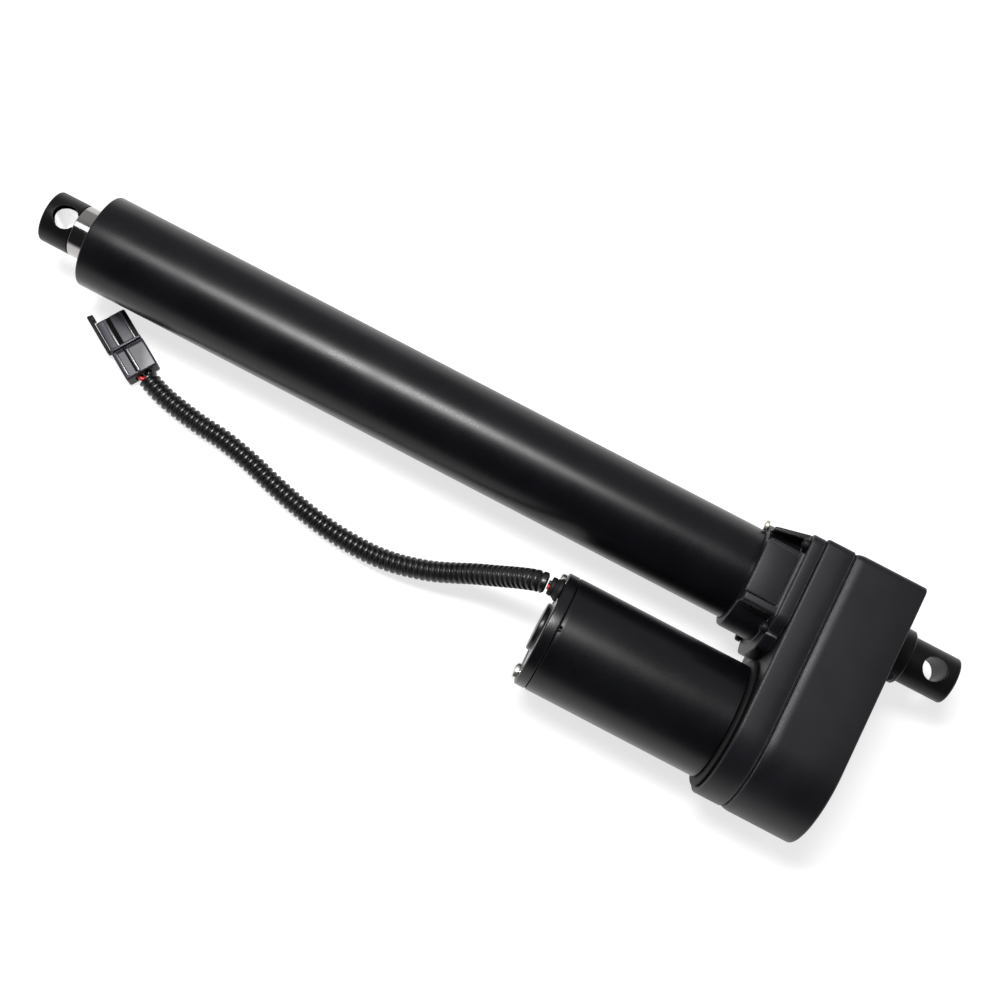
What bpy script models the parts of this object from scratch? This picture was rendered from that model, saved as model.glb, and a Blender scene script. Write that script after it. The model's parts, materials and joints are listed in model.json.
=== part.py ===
"""Parallel-drive linear actuator, built as an assembly of separate pieces.

Frame: +X runs along the extension tube towards the rod end, +Y from the tube
axis towards the motor axis, +Z up.  The actuator lies on its side: the gear
case's flat side rests on z = 0, and the origin is under the middle of the
object's box.  Every dimension below is in millimetres and is turned into
metres by MM.  Stations along the tube (the "a" values) are counted from the
rear wall of the gear case, positive towards the rod end.
"""
import bpy
import bmesh
from math import sin, cos, tan, pi, radians, sqrt, atan2, hypot
from mathutils import Matrix, Vector

# ---------------------------------------------------------------- dimensions
MM = 0.001
GAP = 0.3                    # clearance between separate pieces

STROKE = 304.8               # 12 inch travel
TUBE_R, TUBE_RI = 25.4, 22.4 # cover tube, 2 inch outside diameter
ROD_R, ROD_RI = 14.0, 10.5   # extension rod
EYE_R = 14.0                 # rod eye, same diameter as the rod
REAR_R = 12.6                # rear clevis eye
HOLE_R = 6.4                 # both cross holes take a 1/2 inch pin
MOTOR_R, MOTOR_RI = 31.5, 28.5
CASE_H = 38.7                # half width of the gear case = its round end's radius
CASE_TOP = -29.3             # flat end of the gear case beyond the tube axis
AXIS_D = 73.0                # tube axis to motor axis
CLUSTER_Y = 33.0             # intermediate gear axis

A_TIP = 486.8                # rod eye, free end
A_FHOLE = 475.5
A_EYE = 470.0                # black eye meets the bright rod
A_RIM = 457.6                # front rim of the cover tube
A_TUBE = 68.3                # rear end of the cover tube, inside the collar
A_COLLAR = 80.8              # front of the collar
A_FLANGE = 62.0              # front face of the front housing's flange
A_S1 = 55.0                  # joint: front housing / gear housing
A_S2 = 38.6                  # joint: gear housing / rear cover
A_BOSS = -12.8               # rear boss end
A_RHOLE = -26.5
A_REND = -39.3               # rear eye, free end
A_CAN0, A_CAN1 = 57.7, 154.0 # motor can
A_CAP = 160.4                # motor end cap, outer face

XC = (A_TIP + A_REND) / 2                       # box centre along the tube
YC = (AXIS_D + CASE_H + CASE_TOP) / 2           # box centre across
ZC = CASE_H                                     # axes' height above the floor


def P(a, y=0.0, z=0.0):
    """Station a, offset y from the tube axis, height z from the axes' plane."""
    return Vector(((a - XC) * MM, (y - YC) * MM, (z + ZC) * MM))


# local x -> world Y, local y -> world Z, local z -> world X
LAY = Matrix(((0, 0, 1), (1, 0, 0), (0, 1, 0))).to_4x4()

# ---------------------------------------------------------------- clean start
for o in list(bpy.data.objects):
    bpy.data.objects.remove(o, do_unlink=True)
for m in list(bpy.data.meshes):
    bpy.data.meshes.remove(m)

scene = bpy.context.scene
PARTS = bpy.data.collections.new("linear_actuator")
CUTS = bpy.data.collections.new("cutters")
scene.collection.children.link(PARTS)
scene.collection.children.link(CUTS)


# ---------------------------------------------------------------- materials
def material(name, rgb, rough, metal=0.0):
    m = bpy.data.materials.new(name)
    m.use_nodes = True
    b = m.node_tree.nodes["Principled BSDF"]
    b.inputs["Base Color"].default_value = (*rgb, 1)
    b.inputs["Roughness"].default_value = rough
    b.inputs["Metallic"].default_value = metal
    return m


M_TUBE = material("tube_black", (0.020, 0.020, 0.023), 0.42)
M_CASE = material("case_charcoal", (0.028, 0.027, 0.031), 0.58)
M_MOTOR = material("motor_black", (0.018, 0.018, 0.020), 0.40)
M_CHROME = material("rod_steel", (0.72, 0.72, 0.74), 0.16, 1.0)
M_EYE = material("eye_black", (0.016, 0.016, 0.018), 0.38)
M_STEEL = material("steel", (0.50, 0.50, 0.52), 0.32, 1.0)
M_BRONZE = material("bronze", (0.55, 0.36, 0.16), 0.38, 1.0)
M_COPPER = material("copper", (0.72, 0.38, 0.22), 0.35, 1.0)
M_RUBBER = material("rubber", (0.012, 0.012, 0.012), 0.75)
M_FERRITE = material("ferrite", (0.07, 0.07, 0.075), 0.65)
M_LOOM = material("loom_black", (0.010, 0.010, 0.011), 0.28)
M_PLUG = material("plug_grey", (0.035, 0.035, 0.038), 0.30)
M_RED = material("wire_red", (0.55, 0.02, 0.02), 0.40)
M_BLACK = material("wire_black", (0.012, 0.012, 0.012), 0.45)
M_CARBON = material("carbon", (0.03, 0.03, 0.03), 0.70)


# ---------------------------------------------------------------- helpers
def put(obj, mat, coll=PARTS):
    for c in list(obj.users_collection):
        c.objects.unlink(obj)
    coll.objects.link(obj)
    if mat is not None:
        obj.data.materials.clear()
        obj.data.materials.append(mat)
    if coll is CUTS:
        obj.hide_render = True
        obj.display_type = 'WIRE'
    return obj


def area(pts):
    return 0.5 * sum(pts[i][0] * pts[(i + 1) % len(pts)][1]
                     - pts[(i + 1) % len(pts)][0] * pts[i][1]
                     for i in range(len(pts)))


def freeze(obj):
    """Bake an object's modifiers, or a curve's surface, into a plain mesh."""
    bpy.context.view_layer.update()
    dg = bpy.context.evaluated_depsgraph_get()
    me = bpy.data.meshes.new_from_object(obj.evaluated_get(dg))
    bm = bmesh.new()
    bm.from_mesh(me)
    bmesh.ops.remove_doubles(bm, verts=bm.verts, dist=1e-6)
    bmesh.ops.dissolve_degenerate(bm, dist=1e-7, edges=bm.edges)
    bmesh.ops.recalc_face_normals(bm, faces=bm.faces)
    bm.to_mesh(me)
    bm.free()
    new = bpy.data.objects.new(obj.name + "_m", me)
    new.matrix_world = obj.matrix_world.copy()
    coll = obj.users_collection[0]
    coll.objects.link(new)
    name = obj.name
    hidden = obj.hide_render
    bpy.data.objects.remove(obj, do_unlink=True)
    new.name = name
    new.hide_render = hidden
    if coll is CUTS:
        new.display_type = 'WIRE'
    return new


def smooth(obj, angle=38):
    obj.data.shade_smooth()
    obj.data.set_sharp_from_angle(angle=radians(angle))
    return obj


def turned(name, prof, mat, y=0.0, z=0.0, seg=48, coll=PARTS, turn=0.0):
    """Turned shape about a line parallel to X. prof: (station, radius) points
    round the section; a solid's first and last points lie on the axis."""
    pts = [(r, a) for a, r in prof]
    # seen with the radius to the right and the station up, the outer side
    # runs from the top down, so the section is traced clockwise
    if area(pts) > 0:
        pts.reverse()
    a0 = prof[0][0]
    me = bpy.data.meshes.new(name)
    bm = bmesh.new()
    vs = [bm.verts.new((r * MM, 0, (a - a0) * MM)) for r, a in pts]
    n = len(vs)
    solid = pts[0][0] < 1e-9 and pts[-1][0] < 1e-9
    for i in range(n - 1):
        bm.edges.new((vs[i], vs[i + 1]))
    if not solid:
        bm.edges.new((vs[-1], vs[0]))
    bm.to_mesh(me)
    bm.free()
    o = bpy.data.objects.new(name, me)
    put(o, mat, coll)
    s = o.modifiers.new("turn", 'SCREW')
    s.axis = 'Z'
    s.steps = seg
    s.render_steps = seg
    s.use_merge_vertices = True
    s.merge_threshold = 0.000002
    o.matrix_world = Matrix.Translation(P(a0, y, z)) @ LAY @ Matrix.Rotation(turn, 4, 'Z')
    return smooth(freeze(o))


def flat(name, outline, a0, a1, mat, holes=(), y=0.0, z=0.0, coll=PARTS, turn=0.0):
    """Flat outline (y, z points) extruded from station a0 to a1."""
    cu = bpy.data.curves.new(name, 'CURVE')
    cu.dimensions = '2D'
    cu.fill_mode = 'BOTH'
    cu.extrude = abs(a1 - a0) / 2 * MM
    for loop in (outline, *holes):
        sp = cu.splines.new('POLY')
        sp.points.add(len(loop) - 1)
        for p, (u, v) in zip(sp.points, loop):
            p.co = (u * MM, v * MM, 0, 1)
        sp.use_cyclic_u = True
    o = bpy.data.objects.new(name, cu)
    put(o, mat, coll)
    o.matrix_world = Matrix.Translation(P((a0 + a1) / 2, y, z)) @ LAY @ Matrix.Rotation(turn, 4, 'Z')
    return smooth(freeze(o), 30)


def circle(r, n=48, cu=0.0, cv=0.0, start=0.0):
    return [(cu + r * cos(start + 2 * pi * i / n), cv + r * sin(start + 2 * pi * i / n)) for i in range(n)]


def block(name, lo, hi, mat=None, coll=CUTS):
    """Box between two corners given as (a, y, z)."""
    me = bpy.data.meshes.new(name)
    bm = bmesh.new()
    bmesh.ops.create_cube(bm, size=1.0)
    size = Vector([(h - l) * MM for l, h in zip(lo, hi)])
    bmesh.ops.scale(bm, vec=size, verts=bm.verts)
    bm.to_mesh(me)
    bm.free()
    o = bpy.data.objects.new(name, me)
    put(o, mat, coll)
    o.location = P(*[(l + h) / 2 for l, h in zip(lo, hi)])
    return o


def rod_along(name, axis, r, c, half, seg=24, mat=None, coll=CUTS, r2=None):
    """Cylinder or cone about a line parallel to X, Y or Z, centred on c = (a, y, z)."""
    me = bpy.data.meshes.new(name)
    bm = bmesh.new()
    bmesh.ops.create_cone(bm, cap_ends=True, cap_tris=False, segments=seg,
                          radius1=r * MM, radius2=(r if r2 is None else r2) * MM, depth=2 * half * MM)
    bm.to_mesh(me)
    bm.free()
    o = bpy.data.objects.new(name, me)
    put(o, mat, coll)
    rot = {'X': Matrix.Rotation(pi / 2, 4, 'Y'), 'Y': Matrix.Rotation(-pi / 2, 4, 'X'), 'Z': Matrix.Identity(4)}[axis]
    o.matrix_world = Matrix.Translation(P(*c)) @ rot
    return smooth(o)


def boolean(obj, other, op='DIFFERENCE'):
    m = obj.modifiers.new(op.lower(), 'BOOLEAN')
    m.operation = op
    m.solver = 'EXACT'
    m.object = other
    if other.users_collection[0] is not CUTS:
        put(other, None, CUTS)
    other.hide_render = True
    other.display_type = 'WIRE'
    return obj


def bevel(obj, width, seg=1, angle=40):
    b = obj.modifiers.new("edge", 'BEVEL')
    b.width = width * MM
    b.segments = seg
    b.limit_method = 'ANGLE'
    b.angle_limit = radians(angle)
    b.use_clamp_overlap = True
    return obj


def case_outline(off=0.0, corner=4.0, n_round=28, n_corner=3):
    """Gear case outline: flat end with small corners, straight sides, and a
    full round end about the motor axis. off moves it inwards."""
    h = CASE_H - off
    top = CASE_TOP + off
    r = max(corner - off, 0.8)
    pts = []
    for i in range(n_round + 1):                    # round end, from +z to -z
        t = pi / 2 - pi * i / n_round
        pts.append((AXIS_D + h * cos(t), h * sin(t)))
    for i in range(n_corner + 1):
        t = -pi / 2 - (pi / 2) * i / n_corner
        pts.append((top + r + r * cos(t), -h + r + r * sin(t)))
    for i in range(n_corner + 1):
        t = pi - (pi / 2) * i / n_corner
        pts.append((top + r + r * cos(t), h - r + r * sin(t)))
    return pts


def gear_outline(z, m, pa=25.0, add=0.9, ded=1.2, backlash=0.24, phase=0.0):
    """Involute spur gear outline, with the tooth thinned by half the backlash."""
    r = m * z / 2
    rb = r * cos(radians(pa))
    ra, rf = r + add * m, r - ded * m
    inv = lambda q: tan(q) - q
    half = pi / (2 * z) - backlash / (4 * r)          # half tooth angle at the pitch circle

    def ang(rad):
        q = 0.0 if rad <= rb else atan2(sqrt(rad * rad - rb * rb), rb)
        return half + inv(radians(pa)) - inv(q)
    rs = [rf] + ([rb] if rb > rf + 0.05 else []) + ([0.5 * (max(rb, rf) + ra)] if z < 40 else []) + [ra]
    pts = []
    for k in range(z):
        c = phase + 2 * pi * k / z
        for rad in rs:
            pts.append((rad * cos(c - ang(rad)), rad * sin(c - ang(rad))))
        for rad in reversed(rs):
            pts.append((rad * cos(c + ang(rad)), rad * sin(c + ang(rad))))
    return pts


def empty(name, at):
    e = bpy.data.objects.new(name, None)
    e.empty_display_size = 0.02
    PARTS.objects.link(e)
    e.location = at
    return e


def hang(parent, *objs):
    bpy.context.view_layer.update()
    for o in objs:
        mw = o.matrix_world.copy()
        o.parent = parent
        o.matrix_parent_inverse = parent.matrix_world.inverted()
        o.matrix_world = mw


# ---------------------------------------------------------------- tube and rod
cover_tube = turned("cover_tube", [(A_TUBE, TUBE_RI), (A_TUBE, TUBE_R), (A_RIM - 0.8, TUBE_R), (A_RIM, TUBE_R - 0.8),
                                   (A_RIM, TUBE_RI)], M_TUBE, seg=56)

ROD_A0 = 104.3
rod = turned("extension_rod", [(ROD_A0, ROD_RI), (ROD_A0, ROD_R), (A_EYE - GAP, ROD_R), (A_EYE - GAP, ROD_RI)],
             M_CHROME, seg=40)
A_PIN = 446.0
boolean(rod, rod_along("cut_rod_pin", 'Z', 2.8, (A_PIN, 0, 0), 20, 16))

eye = turned("rod_eye", [(434.0, 0), (434.0, 10.2), (A_EYE - 0.3, 10.2), (A_EYE, 10.2), (A_EYE, EYE_R), (A_TIP - 1.0, EYE_R),
                         (A_TIP, EYE_R - 1.0), (A_TIP, 0)], M_EYE, seg=40)
boolean(eye, rod_along("cut_eye_hole", 'Z', HOLE_R, (A_FHOLE, 0, 0), 20, 24))
boolean(eye, rod_along("cut_eye_pin", 'Z', 2.8, (A_PIN, 0, 0), 20, 16))
for sgn in (1, -1):                       # chamfers at both mouths of the hole
    c = rod_along("cut_eye_cham_%d" % (sgn + 1), 'Z', HOLE_R - 1.4 if sgn > 0 else HOLE_R + 1.4,
                  (A_FHOLE, 0, sgn * (EYE_R - 0.2)), 1.4, 24, r2=HOLE_R + 1.4 if sgn > 0 else HOLE_R - 1.4)
    boolean(eye, c)

eye_pin = rod_along("rod_eye_pin", 'Z', 2.5, (A_PIN, 0, 0), 13.2, 16, M_STEEL, PARTS)

bushing = turned("rod_guide_bushing", [(425, ROD_R + GAP), (425, TUBE_RI - GAP), (452, TUBE_RI - GAP), (452, ROD_R + GAP)],
                 M_BRONZE, seg=36)
wiper = turned("rod_wiper_seal", [(452.4, ROD_R + GAP), (452.4, TUBE_RI - GAP), (A_RIM, TUBE_RI - GAP),
                                  (A_RIM + 1.2, ROD_R + 2.0), (A_RIM + 1.2, ROD_R + GAP)],
               M_RUBBER, seg=36)

# ---------------------------------------------------------------- screw and nut
SCREW_R = 8.0
screw = turned("lead_screw", [(18.9, 0), (18.9, 6.0), (22.0, 6.0), (22.0, 8.0), (63.6, 8.0), (63.6, 10.5), (66.4, 10.5),
                              (66.4, SCREW_R), (420.0, SCREW_R), (421.5, SCREW_R - 1.5), (421.5, 0)], M_STEEL, seg=24)
nut = turned("drive_nut", [(84, SCREW_R + GAP), (84, TUBE_RI - GAP), (104, TUBE_RI - GAP), (104, ROD_RI - GAP),
                           (118, ROD_RI - GAP), (118, SCREW_R + GAP)], M_BRONZE, seg=32)
gear_nut = flat("screw_end_nut", circle(9.5, 6), 19.2, 21.8, M_STEEL, holes=[circle(6.3, 24)])

bear_r = turned("thrust_bearing_rear", [(43.0, 8.3), (43.0, 15.9), (52.0, 15.9), (52.0, 8.3)], M_STEEL, seg=32)
bear_f = turned("thrust_bearing_front", [(54.3, 8.3), (54.3, 15.9), (63.3, 15.9), (63.3, 8.3)], M_STEEL, seg=32)
spacer = turned("bearing_spacer", [(52.3, 8.3), (52.3, 11.0), (54.0, 11.0), (54.0, 8.3)], M_STEEL, seg=24)

# ---------------------------------------------------------------- gear train
Z1, Z2, MA = 12, 52, 1.25          # motor pinion and cluster wheel
Z3, Z4, MB = 22, 44, 1.0           # cluster pinion and output gear
# each wheel's tooth gap faces the other's tooth on the line of centres
pinion = flat("motor_pinion", gear_outline(Z1, MA, phase=pi), 8.8, 16.8, M_STEEL, holes=[circle(4.3, 20)], y=AXIS_D)
wheel = flat("cluster_wheel", gear_outline(Z2, MA, phase=pi / Z2), 9.0, 16.5, M_STEEL, holes=[circle(4.3, 20)],
             y=CLUSTER_Y)
cpinion = flat("cluster_pinion", gear_outline(Z3, MB, phase=pi), 17.0, 34.0, M_STEEL, holes=[circle(4.3, 20)],
               y=CLUSTER_Y)
outgear = flat("output_gear", gear_outline(Z4, MB, phase=pi / Z4), 22.2, 32.0, M_STEEL, holes=[circle(8.3, 32)])
cshaft = turned("cluster_shaft", [(4.2, 0), (4.2, 4.0), (50.4, 4.0), (50.4, 0)], M_STEEL, y=CLUSTER_Y, seg=16)

# ---------------------------------------------------------------- rear cover
WALL = 3.2
rear_cover = flat("rear_cover", case_outline(0.0), 0.0, A_S2, M_CASE)
bevel(rear_cover, 1.2, 2, 50)
rear_cover = freeze(rear_cover)
smooth(rear_cover, 30)
boss = turned("add_boss", [(A_BOSS, 0), (A_BOSS, 14.2), (A_BOSS + 0.7, 14.9), (-2.0, 15.2), (2.0, 17.5), (2.0, 0)],
              None, seg=48, coll=CUTS)
boolean(rear_cover, boss, 'UNION')
# gusset from the boss down the motor side of the rear wall
gus = flat("add_gusset", [(0, -9.0), (0, 9.0), (1, 9.0), (1, -9.0)], 0, 1, None, coll=CUTS)
bm = bmesh.new()
prof = [(1.0, 8.0), (1.0, 25.0), (-1.5, 23.0), (-10.5, 14.6), (-10.5, 8.0)]      # (a, y)
lo = [bm.verts.new(P(a, y, -10.0)) for a, y in prof]
bm.faces.new(lo)
ext = bmesh.ops.extrude_face_region(bm, geom=bm.faces[:])
bmesh.ops.translate(bm, vec=(0, 0, 20.0 * MM), verts=[g for g in ext['geom'] if isinstance(g, bmesh.types.BMVert)])
bmesh.ops.recalc_face_normals(bm, faces=bm.faces)
bm.to_mesh(gus.data)
bm.free()
gus.matrix_world = Matrix.Identity(4)
boolean(rear_cover, gus, 'UNION')
boolean(rear_cover, flat("cut_cover_cavity", case_outline(WALL, n_round=24, n_corner=2), 3.6, A_S2 + 5, None, coll=CUTS))
boolean(rear_cover, rod_along("cut_boss_bore", 'X', 8.3, (-5.0, 0, 0), 15, 32))

rear_eye = turned("rear_eye", [(A_REND, 0), (A_REND, REAR_R - 1.2), (A_REND + 1.2, REAR_R), (A_BOSS - GAP, REAR_R),
                               (A_BOSS - GAP, 8.0), (7.2, 8.0), (7.2, 0)], M_EYE, seg=40)
boolean(rear_eye, rod_along("cut_rear_hole", 'Z', HOLE_R, (A_RHOLE, 0, 0), 20, 24))
for sgn in (1, -1):
    c = rod_along("cut_rear_cham_%d" % (sgn + 1), 'Z', HOLE_R - 1.4 if sgn > 0 else HOLE_R + 1.4,
                  (A_RHOLE, 0, sgn * (REAR_R - 0.4)), 1.4, 24, r2=HOLE_R + 1.4 if sgn > 0 else HOLE_R - 1.4)
    boolean(rear_eye, c)
rear_nut = flat("rear_eye_nut", circle(12.5, 6), 3.9, 6.9, M_STEEL, holes=[circle(8.3, 28)])

gasket = flat("case_gasket", case_outline(0.8), A_S2 + 0.3, A_S2 + 0.9, M_RUBBER,
              holes=[case_outline(WALL, n_round=24, n_corner=2)])

# ---------------------------------------------------------------- gear housing
GH0, GH1 = A_S2 + 1.2, A_S1 - 0.15
gear_housing = flat("gear_housing", case_outline(0.5), GH0, GH1, M_CASE)
bevel(gear_housing, 1.2, 2, 50)
gear_housing = freeze(gear_housing)
smooth(gear_housing, 30)
boolean(gear_housing, flat("cut_gh_cavity", case_outline(WALL + 0.3, n_round=24, n_corner=2), GH0 - 5, 50.8, None, coll=CUTS))
boolean(gear_housing, rod_along("cut_gh_tube", 'X', 20.0, (53, 0, 0), 6, 40))
boolean(gear_housing, rod_along("cut_gh_motor", 'X', 9.0, (53, AXIS_D, 0), 6, 28))

# ---------------------------------------------------------------- front housing
fl = [(CASE_TOP + 1.4, -33.0), (CASE_TOP + 1.4, 33.0), (CASE_TOP + 2.8, 36.6), (CASE_TOP + 6.4, 38.0), (16.0, 38.0),
      (21.0, 36.6), (27.5, 32.0), (32.8, 25.0), (35.9, 17.0), (37.0, 8.0)]
fl = fl + [(u, -v) for u, v in reversed(fl[4:])] + [(CASE_TOP + 6.4, -38.0), (CASE_TOP + 2.8, -36.6)]
front_housing = flat("front_housing", fl, A_S1 + 0.15, A_FLANGE, M_CASE)
bevel(front_housing, 0.9, 1, 50)
front_housing = freeze(front_housing)
smooth(front_housing, 30)
boolean(front_housing, turned("add_collar", [(58.0, 0), (58.0, 29.2), (A_COLLAR - 1.0, 29.2), (A_COLLAR, 28.2), (A_COLLAR, 0)],
                              None, seg=44, coll=CUTS), 'UNION')
boolean(front_housing, bevel(block("add_saddle", (58.5, -16.4, -35.4), (A_COLLAR - 0.4, 18.2, 35.4)), 0.8), 'UNION')
bm = bmesh.new()
web = bpy.data.meshes.new("add_top_web")
prof = [(58.6, CASE_TOP + 1.6), (62.6, CASE_TOP + 1.6), (A_COLLAR - 0.6, -23.6), (A_COLLAR - 0.6, -21.6), (58.6, -25.6)]
lo = [bm.verts.new(P(a, y, -30.0)) for a, y in prof]
bm.faces.new(lo)
ext = bmesh.ops.extrude_face_region(bm, geom=bm.faces[:])
bmesh.ops.translate(bm, vec=(0, 0, 60.0 * MM), verts=[g for g in ext['geom'] if isinstance(g, bmesh.types.BMVert)])
bmesh.ops.recalc_face_normals(bm, faces=bm.faces)
bm.to_mesh(web)
bm.free()
web = put(bpy.data.objects.new("add_top_web", web), None, CUTS)
boolean(front_housing, web, 'UNION')
boolean(front_housing, rod_along("add_spigot", 'X', 19.6, (50.5, 0, 0), 8.2, 40), 'UNION')
boolean(front_housing, rod_along("cut_fh_tube", 'X', TUBE_R + GAP, (A_TUBE + 25.0 - GAP, 0, 0), 25, 64))
boolean(front_housing, rod_along("cut_fh_bearing", 'X', 16.2, (53.7, 0, 0), 13.2, 40))
boolean(front_housing, rod_along("cut_fh_nose", 'X', 12.5, (68, 0, 0), 3, 32))

pad_top = bevel(block("collar_pad_top", (64.5, -14.0, 35.7), (81.4, 14.0, 37.4), M_CASE, PARTS), 0.5)
pad_bot = bevel(block("collar_pad_bottom", (64.5, -14.0, -37.4), (81.4, 14.0, -35.7), M_CASE, PARTS), 0.5)


def screw_piece(name, a_head, y, z, r_head, h_head, r_shank, length, seg=14, mat=M_STEEL):
    """Cap screw along X, its head towards +X, its socket a hexagon."""
    o = turned(name, [(a_head - length, 0), (a_head - length, r_shank), (a_head, r_shank), (a_head, r_head),
                      (a_head + h_head - 0.4, r_head), (a_head + h_head, r_head - 0.4), (a_head + h_head, 0)],
               mat, y=y, z=z, seg=seg)
    boolean(o, rod_along("cut_hex_" + name, 'X', r_head * 0.5, (a_head + h_head, y, z), h_head * 0.55, 6))
    return o


CASE_SCREWS = [("housing_screw_1", -21.5, 33.2), ("housing_screw_2", -21.5, -33.2),
               ("housing_screw_3", 24.6, 28.6), ("housing_screw_4", 24.6, -28.6)]
for nm, y, z in CASE_SCREWS:
    boolean(front_housing, rod_along("cut_f_" + nm, 'X', 2.4, (58.5, y, z), 6, 16))
    boolean(gear_housing, rod_along("cut_g_" + nm, 'X', 2.4, (53.5, y, z), 6, 16))
    screw_piece(nm, A_FLANGE + 0.3, y, z, 3.0, 3.0, 2.0, 10.6)
# small screw that clamps the collar on the tube
clamp = turned("collar_clamp_screw", [(A_COLLAR + 0.3, 0), (A_COLLAR + 0.3, 2.8), (A_COLLAR + 1.6, 2.8),
                                      (A_COLLAR + 2.3, 2.0), (A_COLLAR + 2.3, 0)], M_STEEL, y=-26.3, z=11.2, seg=20)

# ---------------------------------------------------------------- motor
motor_can = turned("motor_can", [(A_CAN0, MOTOR_RI), (A_CAN0, MOTOR_R), (A_CAN1, MOTOR_R), (A_CAN1, MOTOR_RI)], M_MOTOR,
                   y=AXIS_D, seg=56)
seal = turned("motor_seal_ring", [(A_S1 + 0.3, 29.0), (A_S1 + 0.3, 35.4), (A_S1 + 1.2, 35.8), (57.4, 34.6), (57.4, 29.0)],
              M_RUBBER, y=AXIS_D, seg=48)
end_cap = turned("motor_end_cap", [(146.5, 8.9), (146.5, 12.0), (151.0, 12.0), (151.0, MOTOR_RI - GAP),
                                   (A_CAN1 + 0.35, MOTOR_RI - GAP), (A_CAN1 + 0.35, MOTOR_R), (A_CAP - 1.2, MOTOR_R),
                                   (A_CAP, MOTOR_R - 1.2), (A_CAP, 13.1), (A_CAP + 2.2, 13.1),
                                   (A_CAP + 2.7, 12.5), (A_CAP + 2.7, 0), (158.0, 0), (158.0, 8.9)], M_MOTOR, y=AXIS_D, seg=48)
GR_Y, GR_Z = 53.8, 15.0            # cable outlet on the end cap
BOLT_R = 25.6                      # through bolts' distance from the motor axis
boolean(end_cap, rod_along("cut_cap_outlet", 'X', 4.2, (155, GR_Y, GR_Z), 12, 24))
for i, yb in enumerate((AXIS_D - BOLT_R, AXIS_D + BOLT_R)):
    boolean(end_cap, rod_along("cut_cap_bolt_%d" % i, 'X', 2.2, (155, yb, 0), 12, 16))
    screw_piece("motor_through_bolt_%d" % (i + 1), A_CAP + 0.3, yb, 0, 4.2, 2.5, 1.9, 96.0)
front_plate = flat("motor_front_plate", circle(MOTOR_RI - GAP, 48), 57.9, 63.6, M_STEEL, y=AXIS_D, holes=[
    circle(11.3, 32), circle(2.2, 12, -BOLT_R, 0.0), circle(2.2, 12, BOLT_R, 0.0)])
m_bear_f = turned("motor_bearing_front", [(58.0, 4.3), (58.0, 11.0), (63.4, 11.0), (63.4, 4.3)], M_STEEL, y=AXIS_D, seg=24)
m_bear_r = turned("motor_bearing_rear", [(148.0, 4.3), (148.0, 8.6), (154.0, 8.6), (154.0, 4.3)], M_STEEL, y=AXIS_D, seg=24)
m_shaft = turned("motor_shaft", [(7.8, 0), (7.8, 4.0), (156.5, 4.0), (156.5, 0)], M_STEEL, y=AXIS_D, seg=16)
armature = turned("armature", [(74, 4.3), (74, 10), (80, 21.4), (122, 21.4), (128, 10), (128, 4.3)], M_COPPER, y=AXIS_D, seg=28)
commutator = turned("commutator", [(132, 4.3), (132, 9.0), (145.6, 9.0), (145.6, 4.3)], M_COPPER, y=AXIS_D, seg=24)


def arc_plate(r0, r1, mid, half, n=14):
    """Outline of an arc between two radii, centred on angle mid."""
    outer = [(r1 * cos(mid - half + 2 * half * i / n), r1 * sin(mid - half + 2 * half * i / n)) for i in range(n + 1)]
    inner = [(r0 * cos(mid + half - 2 * half * i / n), r0 * sin(mid + half - 2 * half * i / n)) for i in range(n + 1)]
    return outer + inner


for nm, mid in (("magnet_upper", pi / 2), ("magnet_lower", -pi / 2)):
    flat(nm, arc_plate(22.2, MOTOR_RI - GAP, mid, radians(66)), 72, 130, M_FERRITE, y=AXIS_D)
brush_card = flat("brush_card", circle(22.5, 28), 129.0 + 1.0, 131.6, M_CARBON, y=AXIS_D, holes=[circle(9.6, 20)])
for nm, s in (("brush_upper", 1), ("brush_lower", -1)):
    z0, z1 = sorted((s * 9.4, s * 19.0))
    block(nm, (133.0, AXIS_D - 3.2, z0), (143.0, AXIS_D + 3.2, z1), M_CARBON, PARTS)

# ---------------------------------------------------------------- cable
grommet = turned("cable_grommet", [(152.0, 3.1), (152.0, 3.9), (A_CAP + 0.3, 3.9), (A_CAP + 0.3, 6.2), (A_CAP + 2.2, 6.2),
                                   (A_CAP + 3.4, 5.2), (A_CAP + 6.6, 4.7), (A_CAP + 6.6, 3.1)], M_RUBBER, y=GR_Y, z=GR_Z, seg=20)

COND_R = 5.65                      # split loom tubing, outside radius
# route of the loom: it leaves the grommet, drops to the floor beside the
# tube and runs forward to the connector
ROUTE = [(168.7, 53.9, 15.0), (171.6, 54.1, 14.7), (176.2, 55.0, 12.2), (183.5, 56.9, 5.8), (192.5, 59.6, -2.2), (203.6, 63.1, -10.6),
         (213.5, 66.9, -16.8), (225.4, 71.2, -22.2), (241.2, 75.0, -27.2), (255.4, 76.6, -30.6), (270.6, 76.4, -32.6), (286.5, 75.0, -33.0), (303.1, 72.1, -33.0),
         (320.3, 68.0, -33.0), (338.4, 62.8, -33.0), (356.2, 59.0, -33.0), (373.0, 57.2, -33.0), (389.5, 54.4, -33.0),
         (399.6, 51.8, -32.9), (408.6, 48.5, -32.6)]


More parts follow.
